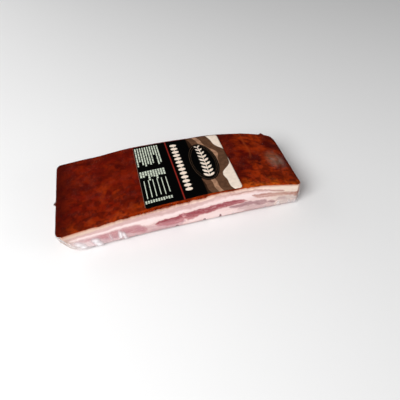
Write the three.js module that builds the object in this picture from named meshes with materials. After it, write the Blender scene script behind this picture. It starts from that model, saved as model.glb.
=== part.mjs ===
// A vacuum-packed slab of smoked pancetta, lying rind up, with a printed label laid across the rind.
// Millimetres, +Z up. X runs along the slab, and the cut face that shows the layers looks towards -Y.
// The origin is in the middle of the space that the pack fills, at the height of what it lies on.

import * as THREE from "three";

// The slab in its tight film
const LENGTH = 300;
const WIDTH = 112;
const TAPER = 0.1; // the left end is wider, and the right end narrower, by this share of the width
const HEIGHTS = [31.7, 35.6, 40.8, 43.5, 45.1, 42.9, 33.7]; // at even steps from the left end to the right
const CROWN = 0.5; // rise of the rind halfway across the width
const BOW_UNDER = 2.4; // how far the middle of the length swings back, at the underside
const BOW_TOP = 7; // and at the rind
const CUT_FACE_SWELL = 1; // how far the cut face swells at half its height
const SWELL = 0.35; // height of the low swells of the rind

// Rounded edges and upright corners
const EDGE_UNDER = 6;
const EDGE_TOP = 4.5;
const CORNERS = [
  { end: -1, side: -1, top: 7, under: 26 }, // left front: a web of film closes the cut-back corner
  { end: -1, side: 1, top: 6, under: 10 },
  { end: 1, side: -1, top: 7, under: 12 },
  { end: 1, side: 1, top: 15, under: 20 },
];

// The two ends lean: measured at the underside, and as a turn across the width
const LEFT_END = { reach: 60, under: 5.6, turn: 3.6 };
const RIGHT_END = { reach: 50, under: -5, turn: 2.7 };

// The welded seam of the film, a low ridge across both ends, with a folded ear on it at the left
const SEAM_HEIGHT = 0.464; // as a share of the slab's height
const SEAM_HALF_WIDTH = 0.07;
const SEAM_STANDS = 2.2;
const EAR_STANDS = 6;
const EAR_AT = 8; // from the middle of the width
const EAR_HALF_WIDTH = 5;

// A small tip of rind that sticks out of the upper back edge
const TIP_AT = 131.5;
const TIP_HALF_WIDTH = 2.6;
const TIP_STANDS = 2.4;
const TIP_RISES = 1.4;

// The label, on a hair's gap above the film
const LABEL_LENGTH = 115;
const LABEL_WIDTH = 105.5;
const LABEL_AT = [12, -2];
const LABEL_LEAN = 0.042; // shift to the left for each step to the back, growing from none at the left edge
const LABEL_LEAN_REACH = 45; // to the full lean this far from it
const LABEL_CORNER = 3;
const LABEL_GAP = 0.32;
const LABEL_THICKNESS = 0.35;

// Fineness of the faces
const CELLS_ALONG = 34;
const CELLS_ACROSS = 14;
const CELLS_UP = 7; // a line of points runs along the top of the seam
const EDGE_TURNS = 3;
const LABEL_CELLS = [18, 16];

const HALF_LENGTH = LENGTH / 2;
const HALF_WIDTH = WIDTH / 2;
const BOX_HEIGHT = 42; // height of the plain box that is bent into the slab

function smoothRise(from, to, value) {
  return THREE.MathUtils.smoothstep(value, from, to);
}

// Value at a place from 0 to 1 of the smooth curve through numbers given at even steps.
function along(numbers, place) {
  const last = numbers.length - 1;
  const at = THREE.MathUtils.clamp(place, 0, 1) * last;
  const step = Math.min(Math.floor(at), last - 1);
  const f = at - step;
  const start = numbers[step];
  const rise = numbers[step + 1] - start;
  const slopeIn = step > 0 ? (numbers[step + 1] - numbers[step - 1]) / 2 : rise;
  const slopeOut = step + 2 <= last ? (numbers[step + 2] - start) / 2 : rise;
  const bend = 3 * rise - 2 * slopeIn - slopeOut;
  return start + f * (slopeIn + f * (bend + f * (slopeIn + slopeOut - 2 * rise)));
}

// Places of the lines that cut one side of a box: even cells, and at each end the turns of a rounded edge.
function cutLines(from, to, cells, edgeFrom, edgeTo) {
  const lines = [];
  for (let turn = 0; turn < EDGE_TURNS; turn += 1) {
    const share = 1 - Math.tan((Math.PI / 4) * (1 - turn / EDGE_TURNS));
    lines.push(from + edgeFrom * share, to - edgeTo * share);
  }
  for (let cell = 0; cell <= cells; cell += 1) {
    lines.push(THREE.MathUtils.lerp(from + edgeFrom, to - edgeTo, cell / cells));
  }
  return lines.sort((a, b) => a - b);
}

// Closed surface of a box that is cut along the given lines and bent point by point.
function bentBox([xs, ys, zs], bend) {
  const numbers = new Map();
  const positions = [];
  const triangles = [];
  const pointAt = (i, j, k) => {
    const key = `${i} ${j} ${k}`;
    if (!numbers.has(key)) {
      numbers.set(key, numbers.size);
      positions.push(...bend(xs[i], ys[j], zs[k]).toArray());
    }
    return numbers.get(key);
  };
  const panel = (rows, columns, at) => {
    for (let row = 0; row < rows; row += 1) {
      for (let column = 0; column < columns; column += 1) {
        const [a, b] = [at(row, column), at(row + 1, column)];
        const [c, d] = [at(row + 1, column + 1), at(row, column + 1)];
        triangles.push(a, b, c, a, c, d);
      }
    }
  };
  const [nx, ny, nz] = [xs.length - 1, ys.length - 1, zs.length - 1];
  panel(nx, ny, (row, column) => pointAt(row, column, nz));
  panel(ny, nx, (row, column) => pointAt(column, row, 0));
  panel(ny, nz, (row, column) => pointAt(nx, row, column));
  panel(nz, ny, (row, column) => pointAt(0, column, row));
  panel(nz, nx, (row, column) => pointAt(column, ny, row));
  panel(nx, nz, (row, column) => pointAt(row, 0, column));

  const geometry = new THREE.BufferGeometry();
  geometry.setAttribute("position", new THREE.Float32BufferAttribute(positions, 3));
  geometry.setIndex(triangles);
  geometry.computeVertexNormals();
  return geometry;
}

// Rounds the box's edges, with the lower ones rounder than the upper ones.
function roundEdges(point) {
  const radius = THREE.MathUtils.lerp(EDGE_UNDER, EDGE_TOP, smoothRise(0.2, 0.8, point.z / BOX_HEIGHT));
  const core = point.clone();
  core.x = THREE.MathUtils.clamp(core.x, radius - HALF_LENGTH, HALF_LENGTH - radius);
  core.y = THREE.MathUtils.clamp(core.y, radius - HALF_WIDTH, HALF_WIDTH - radius);
  core.z = THREE.MathUtils.clamp(core.z, radius, BOX_HEIGHT - radius);
  return core.add(point.clone().sub(core).setLength(radius));
}

// Draws the square corner of a plan, half a length by half a width, in to a round one.
function roundCorner(point, halfLength, halfWidth, radius, end, side) {
  const a = (end * point.x - halfLength + radius) / radius;
  const b = (side * point.y - halfWidth + radius) / radius;
  if (a <= 0 || b <= 0) {
    return;
  }
  point.x = end * (halfLength - radius + radius * a * Math.sqrt(1 - (b * b) / 2));
  point.y = side * (halfWidth - radius + radius * b * Math.sqrt(1 - (a * a) / 2));
}

// Leans one end of the slab: in or out at the underside, and turned across the width.
function leanEnd(point, sign, end, up) {
  const weight = smoothRise(HALF_LENGTH - end.reach, HALF_LENGTH, sign * point.x);
  const across = (point.y + HALF_WIDTH) / WIDTH;
  point.x -= sign * weight * (end.under * (1 - up) ** 1.6 + end.turn * across);
}

// How far the welded seam stands out from an end, at a share of the height and a place across the width.
function seamRelief(up, y, sign) {
  const ridge = Math.exp(-(((up - SEAM_HEIGHT) / SEAM_HALF_WIDTH) ** 2));
  const fade = smoothRise(0, 24, HALF_WIDTH - Math.abs(y));
  const ear = sign < 0 ? EAR_STANDS * Math.exp(-(((y - EAR_AT) / EAR_HALF_WIDTH) ** 2)) : 0;
  return ridge * (SEAM_STANDS * fade + ear);
}

// Strength of the tip of rind at a place of the box, from 0 to 1.
function tipShare(x, y, up) {
  const ridge = Math.exp(-(((x - TIP_AT) / TIP_HALF_WIDTH) ** 2));
  return ridge * smoothRise(HALF_WIDTH - 8, HALF_WIDTH, y) * smoothRise(0.72, 0.97, up);
}

// Low swells of the rind under the film.
function rindSwell(x, y) {
  return SWELL * (Math.sin(x / 17 + 0.6) * Math.cos(y / 14 - 0.4) + 0.6 * Math.sin(x / 9 - y / 12));
}

// Carries a point of the plain box to the skin of the pack.
function packSkin(x, y, z) {
  const point = roundEdges(new THREE.Vector3(x, y, z));
  const up = point.z / BOX_HEIGHT;
  for (const corner of CORNERS) {
    const radius = THREE.MathUtils.lerp(corner.under, corner.top, up);
    roundCorner(point, HALF_LENGTH, HALF_WIDTH, radius, corner.end, corner.side);
  }
  if (Math.abs(x) === HALF_LENGTH) {
    point.x += Math.sign(x) * seamRelief(up, point.y, Math.sign(x));
  }
  leanEnd(point, -1, LEFT_END, up);
  leanEnd(point, 1, RIGHT_END, up);

  const reach = point.x / HALF_LENGTH;
  const across = point.y / HALF_WIDTH;
  const height = along(HEIGHTS, (reach + 1) / 2) + CROWN * (1 - across * across);
  const swell = rindSwell(point.x, point.y) * smoothRise(0.6, 1, up);
  const bow = THREE.MathUtils.lerp(BOW_UNDER, BOW_TOP, up) * (1 - reach * reach);
  const cutFace = CUT_FACE_SWELL * Math.sin(Math.PI * up) * smoothRise(HALF_WIDTH - 25, HALF_WIDTH, -point.y);
  const tip = tipShare(point.x, point.y, up);
  point.z = up * height + swell + TIP_RISES * tip;
  point.y = (point.y + bow - cutFace + TIP_STANDS * tip) * (1 - TAPER * reach);
  return point;
}

// A point that lies a given height above the rind, along the skin's own normal.
function aboveRind(x, y, height) {
  const step = 0.5;
  const slope = (dx, dy) => packSkin(x + dx, y + dy, BOX_HEIGHT).sub(packSkin(x - dx, y - dy, BOX_HEIGHT));
  const normal = slope(step, 0).cross(slope(0, step)).normalize();
  return packSkin(x, y, BOX_HEIGHT).addScaledVector(normal, height);
}

function makePack() {
  const acrossTip = [-1.6, -0.8, 0, 0.8, 1.6].map((step) => TIP_AT + step * TIP_HALF_WIDTH);
  const alongPack = cutLines(-HALF_LENGTH, HALF_LENGTH, CELLS_ALONG, EDGE_UNDER, EDGE_UNDER);
  const geometry = bentBox([
    alongPack.concat(acrossTip).sort((a, b) => a - b),
    cutLines(-HALF_WIDTH, HALF_WIDTH, CELLS_ACROSS, EDGE_UNDER, EDGE_UNDER),
    cutLines(0, BOX_HEIGHT, CELLS_UP, EDGE_UNDER, EDGE_TOP),
  ], packSkin);
  const skin = new THREE.MeshStandardMaterial({ color: 0x66200c, roughness: 0.32, metalness: 0 });
  const mesh = new THREE.Mesh(geometry, skin);
  mesh.name = "vacuum_pack";
  return mesh;
}

function makeLabel() {
  const [halfLength, halfWidth] = [LABEL_LENGTH / 2, LABEL_WIDTH / 2];
  const geometry = bentBox([
    cutLines(-halfLength, halfLength, LABEL_CELLS[0], LABEL_CORNER, LABEL_CORNER),
    cutLines(-halfWidth, halfWidth, LABEL_CELLS[1], EDGE_TOP, EDGE_TOP),
    [LABEL_GAP, LABEL_GAP + LABEL_THICKNESS],
  ], (x, y, height) => {
    const place = new THREE.Vector3(x, y, 0);
    for (const [end, side] of [[-1, -1], [-1, 1], [1, -1], [1, 1]]) {
      roundCorner(place, halfLength, halfWidth, LABEL_CORNER, end, side);
    }
    const lean = LABEL_LEAN * Math.min((place.x + halfLength) / LABEL_LEAN_REACH, 1);
    const across = place.y + LABEL_AT[1];
    return aboveRind(place.x + LABEL_AT[0] - lean * across, across, height);
  });
  const print = new THREE.MeshStandardMaterial({ color: 0x140f0c, roughness: 0.38, metalness: 0 });
  const mesh = new THREE.Mesh(geometry, print);
  mesh.name = "label";
  return mesh;
}

const pack = makePack();
pack.geometry.computeBoundingBox();
const middle = pack.geometry.boundingBox.getCenter(new THREE.Vector3());

const pancetta = new THREE.Group();
pancetta.add(pack, makeLabel());
pancetta.position.set(-middle.x, -middle.y, 0);

const part = new THREE.Group();
part.add(pancetta);

export default part;
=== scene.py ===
"""Looks of a vacuum-packed slab of smoked pancetta: the cured meat, its tight clear film and its label.

The slab lies rind up along X, and the cut face that shows its layers looks towards -Y. Its form is a
plain box that is rounded, leaned and bowed. Points are in millimetres and become metres when a mesh
is made.
"""

import logging
import math
from dataclasses import dataclass, field, fields, replace
from enum import Enum
from typing import Callable, Optional, Union

import bpy
import numpy as np
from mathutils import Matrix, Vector


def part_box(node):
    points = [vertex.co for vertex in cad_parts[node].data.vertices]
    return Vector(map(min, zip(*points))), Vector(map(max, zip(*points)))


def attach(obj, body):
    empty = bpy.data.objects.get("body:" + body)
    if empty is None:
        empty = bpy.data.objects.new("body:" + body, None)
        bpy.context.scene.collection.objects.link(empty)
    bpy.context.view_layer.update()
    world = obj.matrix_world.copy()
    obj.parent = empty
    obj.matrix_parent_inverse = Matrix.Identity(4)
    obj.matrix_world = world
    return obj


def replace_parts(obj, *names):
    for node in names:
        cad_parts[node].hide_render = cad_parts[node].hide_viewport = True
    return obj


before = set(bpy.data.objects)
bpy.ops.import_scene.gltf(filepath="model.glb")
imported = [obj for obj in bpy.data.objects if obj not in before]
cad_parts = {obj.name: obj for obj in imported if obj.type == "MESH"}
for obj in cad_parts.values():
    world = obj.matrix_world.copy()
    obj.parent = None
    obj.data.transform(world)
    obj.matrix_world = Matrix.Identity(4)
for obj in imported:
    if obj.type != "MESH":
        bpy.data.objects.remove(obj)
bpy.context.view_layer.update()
BODY = "root"
MM = 0.001
WHITE = (1.0, 1.0, 1.0, 1.0)

LOG = logging.getLogger("pancetta")

Array = np.ndarray
Colour = tuple[float, float, float, float]
Material = bpy.types.Material
Node = bpy.types.Node
Pair = tuple[float, float]
Piece = bpy.types.Object
Place = Callable[[Array], Array]
Socket = bpy.types.NodeSocket
Tree = bpy.types.NodeTree
Triple = tuple[float, float, float]
Fed = Union[float, tuple, Socket]
Feeds = dict[Union[str, int], Fed]


class End(Enum):
    """The slab's two ends, by the sign of X."""

    LEFT = -1
    RIGHT = 1


@dataclass(frozen=True)
class Oval:
    """An oval seen from above, by its middle and its half widths."""

    middle: Pair
    half: Pair


# Form of the slab


def rise(low: float, high: float, value: Array) -> Array:
    """Smooth step of a value, from 0 at low to 1 at high."""
    t = np.clip((value - low) / (high - low), 0, 1)
    return t * t * (3 - 2 * t)


def hump(value: Array, middle: Union[float, Array], half_width: float) -> Array:
    """Bell curve of height 1, which has fallen to about a third at its half width from the middle."""
    return np.exp(-(((value - middle) / half_width) ** 2))


def along(numbers: tuple[float, ...], place: Array) -> Array:
    """Smooth curve through numbers that are given at even steps.

    Args:
        numbers: Heights of the curve.
        place: Places from 0, the first number, to 1, the last.

    Returns:
        The curve's height at each place.
    """
    given = np.asarray(numbers, float)
    last = len(given) - 1
    at = np.clip(place, 0, 1) * last
    step = np.minimum(np.floor(at).astype(int), last - 1)
    f = at - step
    padded = np.concatenate([[2 * given[0] - given[1]], given, [2 * given[-1] - given[-2]]])
    start = padded[step + 1]
    climb = padded[step + 2] - start
    slope_in = (padded[step + 2] - padded[step]) / 2
    slope_out = (padded[step + 3] - padded[step + 1]) / 2
    bend = 3 * climb - 2 * slope_in - slope_out
    return start + f * (slope_in + f * (bend + f * (slope_in + slope_out - 2 * climb)))


class Lumps:
    """Seeded smooth noise in space, from -1 to 1, which repeats after so many cells each way."""

    cells = 32

    def __init__(self, seed: int) -> None:
        """Draws the noise."""
        self.values = np.random.default_rng(seed).uniform(-1, 1, (self.cells,) * 3)

    def at(self, points: Array, *size: float) -> Array:
        """Reads the noise.

        Args:
            points: Places, one per row.
            *size: Size of a lump along each axis.

        Returns:
            The noise at each place.
        """
        place = points / np.array(size)
        cell = np.floor(place).astype(int)
        share = place - cell
        share = share * share * (3 - 2 * share)
        total = np.zeros(len(points))
        for corner in np.ndindex(2, 2, 2):
            weight = np.where(corner, share, 1 - share).prod(1)
            i, j, k = ((cell + corner) % self.cells).T
            total += weight * self.values[i, j, k]
        return total


@dataclass(frozen=True)
class Corner:
    """An upright corner of the slab's plan, with its radius at the rind and at the underside."""

    end: int
    side: int
    top: float
    under: float


@dataclass(frozen=True)
class EndLean:
    """How one end of the slab leans: inwards at the underside, and turned across the width."""

    reach: float
    under: float
    turn: float


@dataclass(frozen=True)
class SlabForm:
    """The bent and rounded box that the slab, its film and its label follow, in millimetres."""

    length: float = 300.0
    width: float = 112.0
    box_height: float = 42.0
    shift: Pair = (0.0, 0.0)
    taper: float = 0.1
    heights: tuple[float, ...] = (31.7, 35.6, 40.8, 43.5, 45.1, 42.9, 33.7)
    crown: float = 0.5
    bow_under: float = 2.4
    bow_top: float = 7.0
    cut_face_swell: float = 1.0
    cut_face_reach: float = 25.0
    swell: float = 0.35
    edge_under: float = 6.0
    edge_top: float = 4.5
    corners: tuple[Corner, ...] = (Corner(-1, -1, 7, 26), Corner(-1, 1, 6, 10), Corner(1, -1, 7, 12),
                                   Corner(1, 1, 15, 20))
    left_end: EndLean = EndLean(60, 5.6, 3.6)
    right_end: EndLean = EndLean(50, -5.0, 2.7)
    lean_power: float = 1.6
    seam_height: float = 0.464
    seam_half_width: float = 0.07
    seam_stands: float = 2.2
    seam_fade: float = 24.0
    ear_stands: float = 6.0
    ear_at: float = 8.0
    ear_half_width: float = 5.0
    tip_at: float = 131.5
    tip_half_width: float = 2.6
    tip_reach: float = 8.0
    tip_stands: float = 2.4
    tip_rises: float = 1.4

    @property
    def half_length(self) -> float:
        """Half the plain box's length."""
        return self.length / 2

    @property
    def half_width(self) -> float:
        """Half the plain box's width."""
        return self.width / 2

    def round_edges(self, box: Array) -> Array:
        """Rounds the plain box's edges, the lower ones more than the upper ones.

        Args:
            box: Points on the plain box, one per row.

        Returns:
            The rounded points.
        """
        grown = rise(0.2, 0.8, box[:, 2] / self.box_height)
        radius = self.edge_under + (self.edge_top - self.edge_under) * grown
        core = np.stack([np.clip(box[:, 0], radius - self.half_length, self.half_length - radius),
                         np.clip(box[:, 1], radius - self.half_width, self.half_width - radius),
                         np.clip(box[:, 2], radius, self.box_height - radius)], 1)
        out = box - core
        return core + out * (radius / np.maximum(np.linalg.norm(out, axis=1), 1e-9))[:, None]

    def seam_relief(self, up: Array, y: Array, end: Array) -> Array:
        """Height of the welded seam across both ends, with a folded ear on the left one.

        Args:
            up: Share of the height.
            y: Place across the width.
            end: -1 on the left end, 1 on the right end and 0 elsewhere.

        Returns:
            How far each point stands out from its end.
        """
        fade = rise(0, self.seam_fade, self.half_width - np.abs(y))
        ear = self.ear_stands * hump(y, self.ear_at, self.ear_half_width) * (end < 0)
        stands = self.seam_stands * fade + ear
        return hump(up, self.seam_height, self.seam_half_width) * stands * np.abs(end)

    def skin(self, box: Array) -> Array:
        """Carries points of the plain box to the skin of the pack.

        Args:
            box: Points on the plain box, one per row.

        Returns:
            Points of the skin.
        """
        x, y, z = self.round_edges(box).T
        up = z / self.box_height
        half = (self.half_length, self.half_width)
        for corner in self.corners:
            radius = corner.under + (corner.top - corner.under) * up
            x, y = round_corner(x, y, half, radius, (corner.end, corner.side))
        end = np.sign(box[:, 0]) * (np.abs(box[:, 0]) >= self.half_length)
        x = x + end * self.seam_relief(up, y, end)
        for sign, lean in ((-1, self.left_end), (1, self.right_end)):
            weight = rise(self.half_length - lean.reach, self.half_length, sign * x)
            across = (y + self.half_width) / self.width
            x = x - sign * weight * (lean.under * (1 - up) ** self.lean_power + lean.turn * across)
        reach = x / self.half_length
        height = along(self.heights, (reach + 1) / 2) + self.crown * (1 - (y / self.half_width) ** 2)
        lumps = np.sin(x / 17 + 0.6) * np.cos(y / 14 - 0.4) + 0.6 * np.sin(x / 9 - y / 12)
        bow = (self.bow_under + (self.bow_top - self.bow_under) * up) * (1 - reach * reach)
        face = rise(self.half_width - self.cut_face_reach, self.half_width, -y)
        out = self.cut_face_swell * np.sin(math.pi * np.clip(up, 0, 1)) * face
        tip = hump(x, self.tip_at, self.tip_half_width) * rise(0.72, 0.97, up)
        tip = tip * rise(self.half_width - self.tip_reach, self.half_width, y)
        new_y = (y + bow - out + self.tip_stands * tip) * (1 - self.taper * reach)
        new_z = up * height + self.swell * lumps * rise(0.6, 1, up) + self.tip_rises * tip
        return np.stack([x + self.shift[0], new_y + self.shift[1], new_z], 1)

    def above_rind(self, x: Array, y: Array, height: Array, step: float = 0.5) -> Array:
        """Points that lie over the rind, along the skin's own normal.

        Args:
            x: Places along the plain box.
            y: Places across the plain box.
            height: Distances from the skin.
            step: Distance to the neighbours that the normal is worked out from.

        Returns:
            The points, one per row.
        """
        def top(dx: float, dy: float) -> Array:
            """Skin over the places moved by dx and dy."""
            return self.skin(np.stack([x + dx, y + dy, np.full(len(x), self.box_height)], 1))

        normal = np.cross(top(step, 0) - top(-step, 0), top(0, step) - top(0, -step))
        normal /= np.linalg.norm(normal, axis=1)[:, None]
        return top(0, 0) + normal * height[:, None]


def round_corner(x: Array, y: Array, half: Pair, radius: Union[float, Array],
                 corner: tuple[int, int]) -> tuple[Array, Array]:
    """Draws one square corner of a plan in to a round one.

    Args:
        x: Places along.
        y: Places across.
        half: Half the plan's length and half its width.
        radius: Radius of the corner, for all points or for each.
        corner: -1 for the left end or 1 for the right, and -1 for the front or 1 for the back.

    Returns:
        The new places along and across.
    """
    shares = [(sign * at - size + radius) / radius for sign, at, size in zip(corner, (x, y), half)]
    inside = (shares[0] > 0) & (shares[1] > 0)
    a, b = (np.where(inside, share, 0) for share in shares)
    new_x = corner[0] * (half[0] - radius + radius * a * np.sqrt(1 - b * b / 2))
    new_y = corner[1] * (half[1] - radius + radius * b * np.sqrt(1 - a * a / 2))
    return np.where(inside, new_x, x), np.where(inside, new_y, y)


# Meshes


@dataclass
class Net:
    """Points and four-sided faces that close a box, with the plain place of every point."""

    plain: Array
    faces: Array
    points: Array = field(default_factory=lambda: np.zeros((0, 3)))

    def normals(self) -> Array:
        """Unit normals of the bent points, each the mean of its faces'.

        Returns:
            The normals, one per row.
        """
        a, b, c, d = (self.points[self.faces[:, i]] for i in range(4))
        across = np.cross(c - a, d - b)
        total = np.zeros_like(self.points)
        for i in range(4):
            np.add.at(total, self.faces[:, i], across)
        return total / np.maximum(np.linalg.norm(total, axis=1), 1e-12)[:, None]

    def raise_by(self, heights: Array) -> None:
        """Moves the bent points along their normals."""
        self.points = self.points + self.normals() * heights[:, None]


def even_lines(low: float, high: float, pitch: float) -> Array:
    """Evenly spaced places from low to high, about a pitch apart."""
    return np.linspace(low, high, max(2, round((high - low) / pitch) + 1))


def box_net(half: Pair, zs: Array, pitch: float) -> Net:
    """Closed surface of a box that is cut along lines.

    Args:
        half: Half the box's length and half its width.
        zs: Places of the lines upwards.
        pitch: Distance of the lines along and across.

    Returns:
        The net, with its points still on the plain box.
    """
    xs, ys = (even_lines(-size, size, pitch) for size in half)
    counts = (len(xs), len(ys), len(zs))
    i, j, k = np.meshgrid(*(np.arange(n) for n in counts), indexing="ij")
    outside = np.zeros(counts, bool)
    for index, count in zip((i, j, k), counts):
        outside |= (index == 0) | (index == count - 1)
    number = np.full(counts, -1)
    number[outside] = np.arange(outside.sum())
    plain = np.stack([xs[i[outside]], ys[j[outside]], zs[k[outside]]], 1)
    sheets = (number[:, :, -1], number[:, :, 0].T, number[-1], number[0].T, number[:, -1].T,
              number[:, 0])
    faces = [np.stack([s[:-1, :-1], s[1:, :-1], s[1:, 1:], s[:-1, 1:]], -1).reshape(-1, 4)
             for s in sheets]
    return Net(plain, np.concatenate(faces))


def slab_net(form: SlabForm, pitch: float) -> Net:
    """Net of the slab's plain box, bent to its skin.

    Args:
        form: Form of the slab.
        pitch: Size of the faces.

    Returns:
        The bent net.
    """
    net = box_net((form.half_length, form.half_width), even_lines(0, form.box_height, pitch), pitch)
    net.points = form.skin(net.plain)
    return net


def new_object(name: str, data: bpy.types.ID) -> Piece:
    """Puts data into the scene as an object.

    Args:
        name: Name of the object.
        data: Its mesh, light or camera.

    Returns:
        The object.
    """
    new = bpy.data.objects.new(name, data)
    bpy.context.scene.collection.objects.link(new)
    return new


def hold(piece: Piece) -> Piece:
    """Lets a piece ride on the body, and reports it.

    Args:
        piece: The piece.

    Returns:
        The same piece.
    """
    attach(piece, BODY)
    LOG.info("%s: %d faces", piece.name, len(piece.data.polygons))
    return piece


def store(mesh: bpy.types.Mesh, name: str, values: Array) -> None:
    """Stores one number or one vector for every point of a mesh, under a name that materials read."""
    kind, key = ("FLOAT", "value") if values.ndim == 1 else ("FLOAT_VECTOR", "vector")
    mesh.attributes.new(name, kind, "POINT").data.foreach_set(key, values.astype(np.float32).ravel())


def make_piece(name: str, net: Net, material: Material, values: dict[str, Array]) -> Piece:
    """Makes a net into a piece of the object that rides on its body.

    Args:
        name: Name of the piece.
        net: Net whose bent points are in millimetres.
        material: Finish of the piece.
        values: Further numbers for each point that the material reads, by name.

    Returns:
        The new object.
    """
    mesh = bpy.data.meshes.new(name)
    mesh.from_pydata((net.points * MM).tolist(), [], net.faces.tolist())
    for key, numbers in {"plain": net.plain, **values}.items():
        store(mesh, key, numbers)
    mesh.materials.append(material)
    mesh.shade_smooth()
    mesh.update()
    return hold(new_object(name, mesh))


# Colours and node trees


def srgb(red: int, green: int, blue: int) -> Colour:
    """Linear colour of an sRGB triple from 0 to 255."""
    shares = (red / 255, green / 255, blue / 255)
    return (*(c / 12.92 if c <= 0.04045 else ((c + 0.055) / 1.055) ** 2.4 for c in shares), 1.0)


class Tone(Enum):
    """Colours of the finishes, as sRGB from 0 to 255."""

    RIND_DEEP = (76, 8, 2)
    RIND_RED = (110, 17, 3)
    RIND_RUST = (126, 31, 4)
    RIND_RUST_RIGHT = (162, 50, 6)
    RIND_SPOT = (134, 38, 6)
    RIND_AMBER = (150, 48, 6)
    RIND_AMBER_RIGHT = (206, 88, 18)
    RIND_CELL = (56, 6, 3)
    RIND_POCK = (46, 6, 3)
    RIND_HOLLOW = (44, 6, 2)
    RIND_LEFT_EDGE = (46, 4, 3)
    RIND_RIGHT_EDGE = (58, 11, 4)
    RIND_DULL = (150, 104, 72)
    RIND_FOLD = (150, 60, 22)
    RIND_GRAIN = (118, 36, 8)
    UPPER_FAT = (226, 194, 175)
    UPPER_FAT_RIGHT = (251, 221, 206)
    FAT = (241, 211, 207)
    FAT_RIGHT = (240, 218, 200)
    LOW_FAT_RIGHT = (204, 182, 176)
    FAT_LEFT = (214, 184, 166)
    FAT_FIBRE = (212, 164, 158)
    MARBLING = (240, 208, 204)
    UNDER_RIND = (172, 98, 58)
    SMOKED_END = (120, 52, 30)
    CRUST = (60, 14, 9)
    RIB_LEAN = (168, 92, 84)
    RIB_FAT = (222, 176, 164)
    EAR = (64, 26, 15)
    FILM_CREASE = (252, 248, 250)
    FILM_CORNER = (178, 142, 122)
    FILM_BLOOM = (238, 228, 218)
    BLACK = (5, 5, 5)
    RED = (128, 36, 28)
    PALE = (204, 212, 194)
    CREAM = (240, 222, 204)
    TAN = (172, 130, 102)
    DIM_TAN = (66, 50, 36)
    BROWN = (96, 66, 48)
    DARK_BROWN = (44, 28, 18)
    CUT_EDGE = (112, 92, 80)

    @property
    def colour(self) -> Colour:
        """The tone as a linear colour."""
        return srgb(*self.value)


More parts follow.
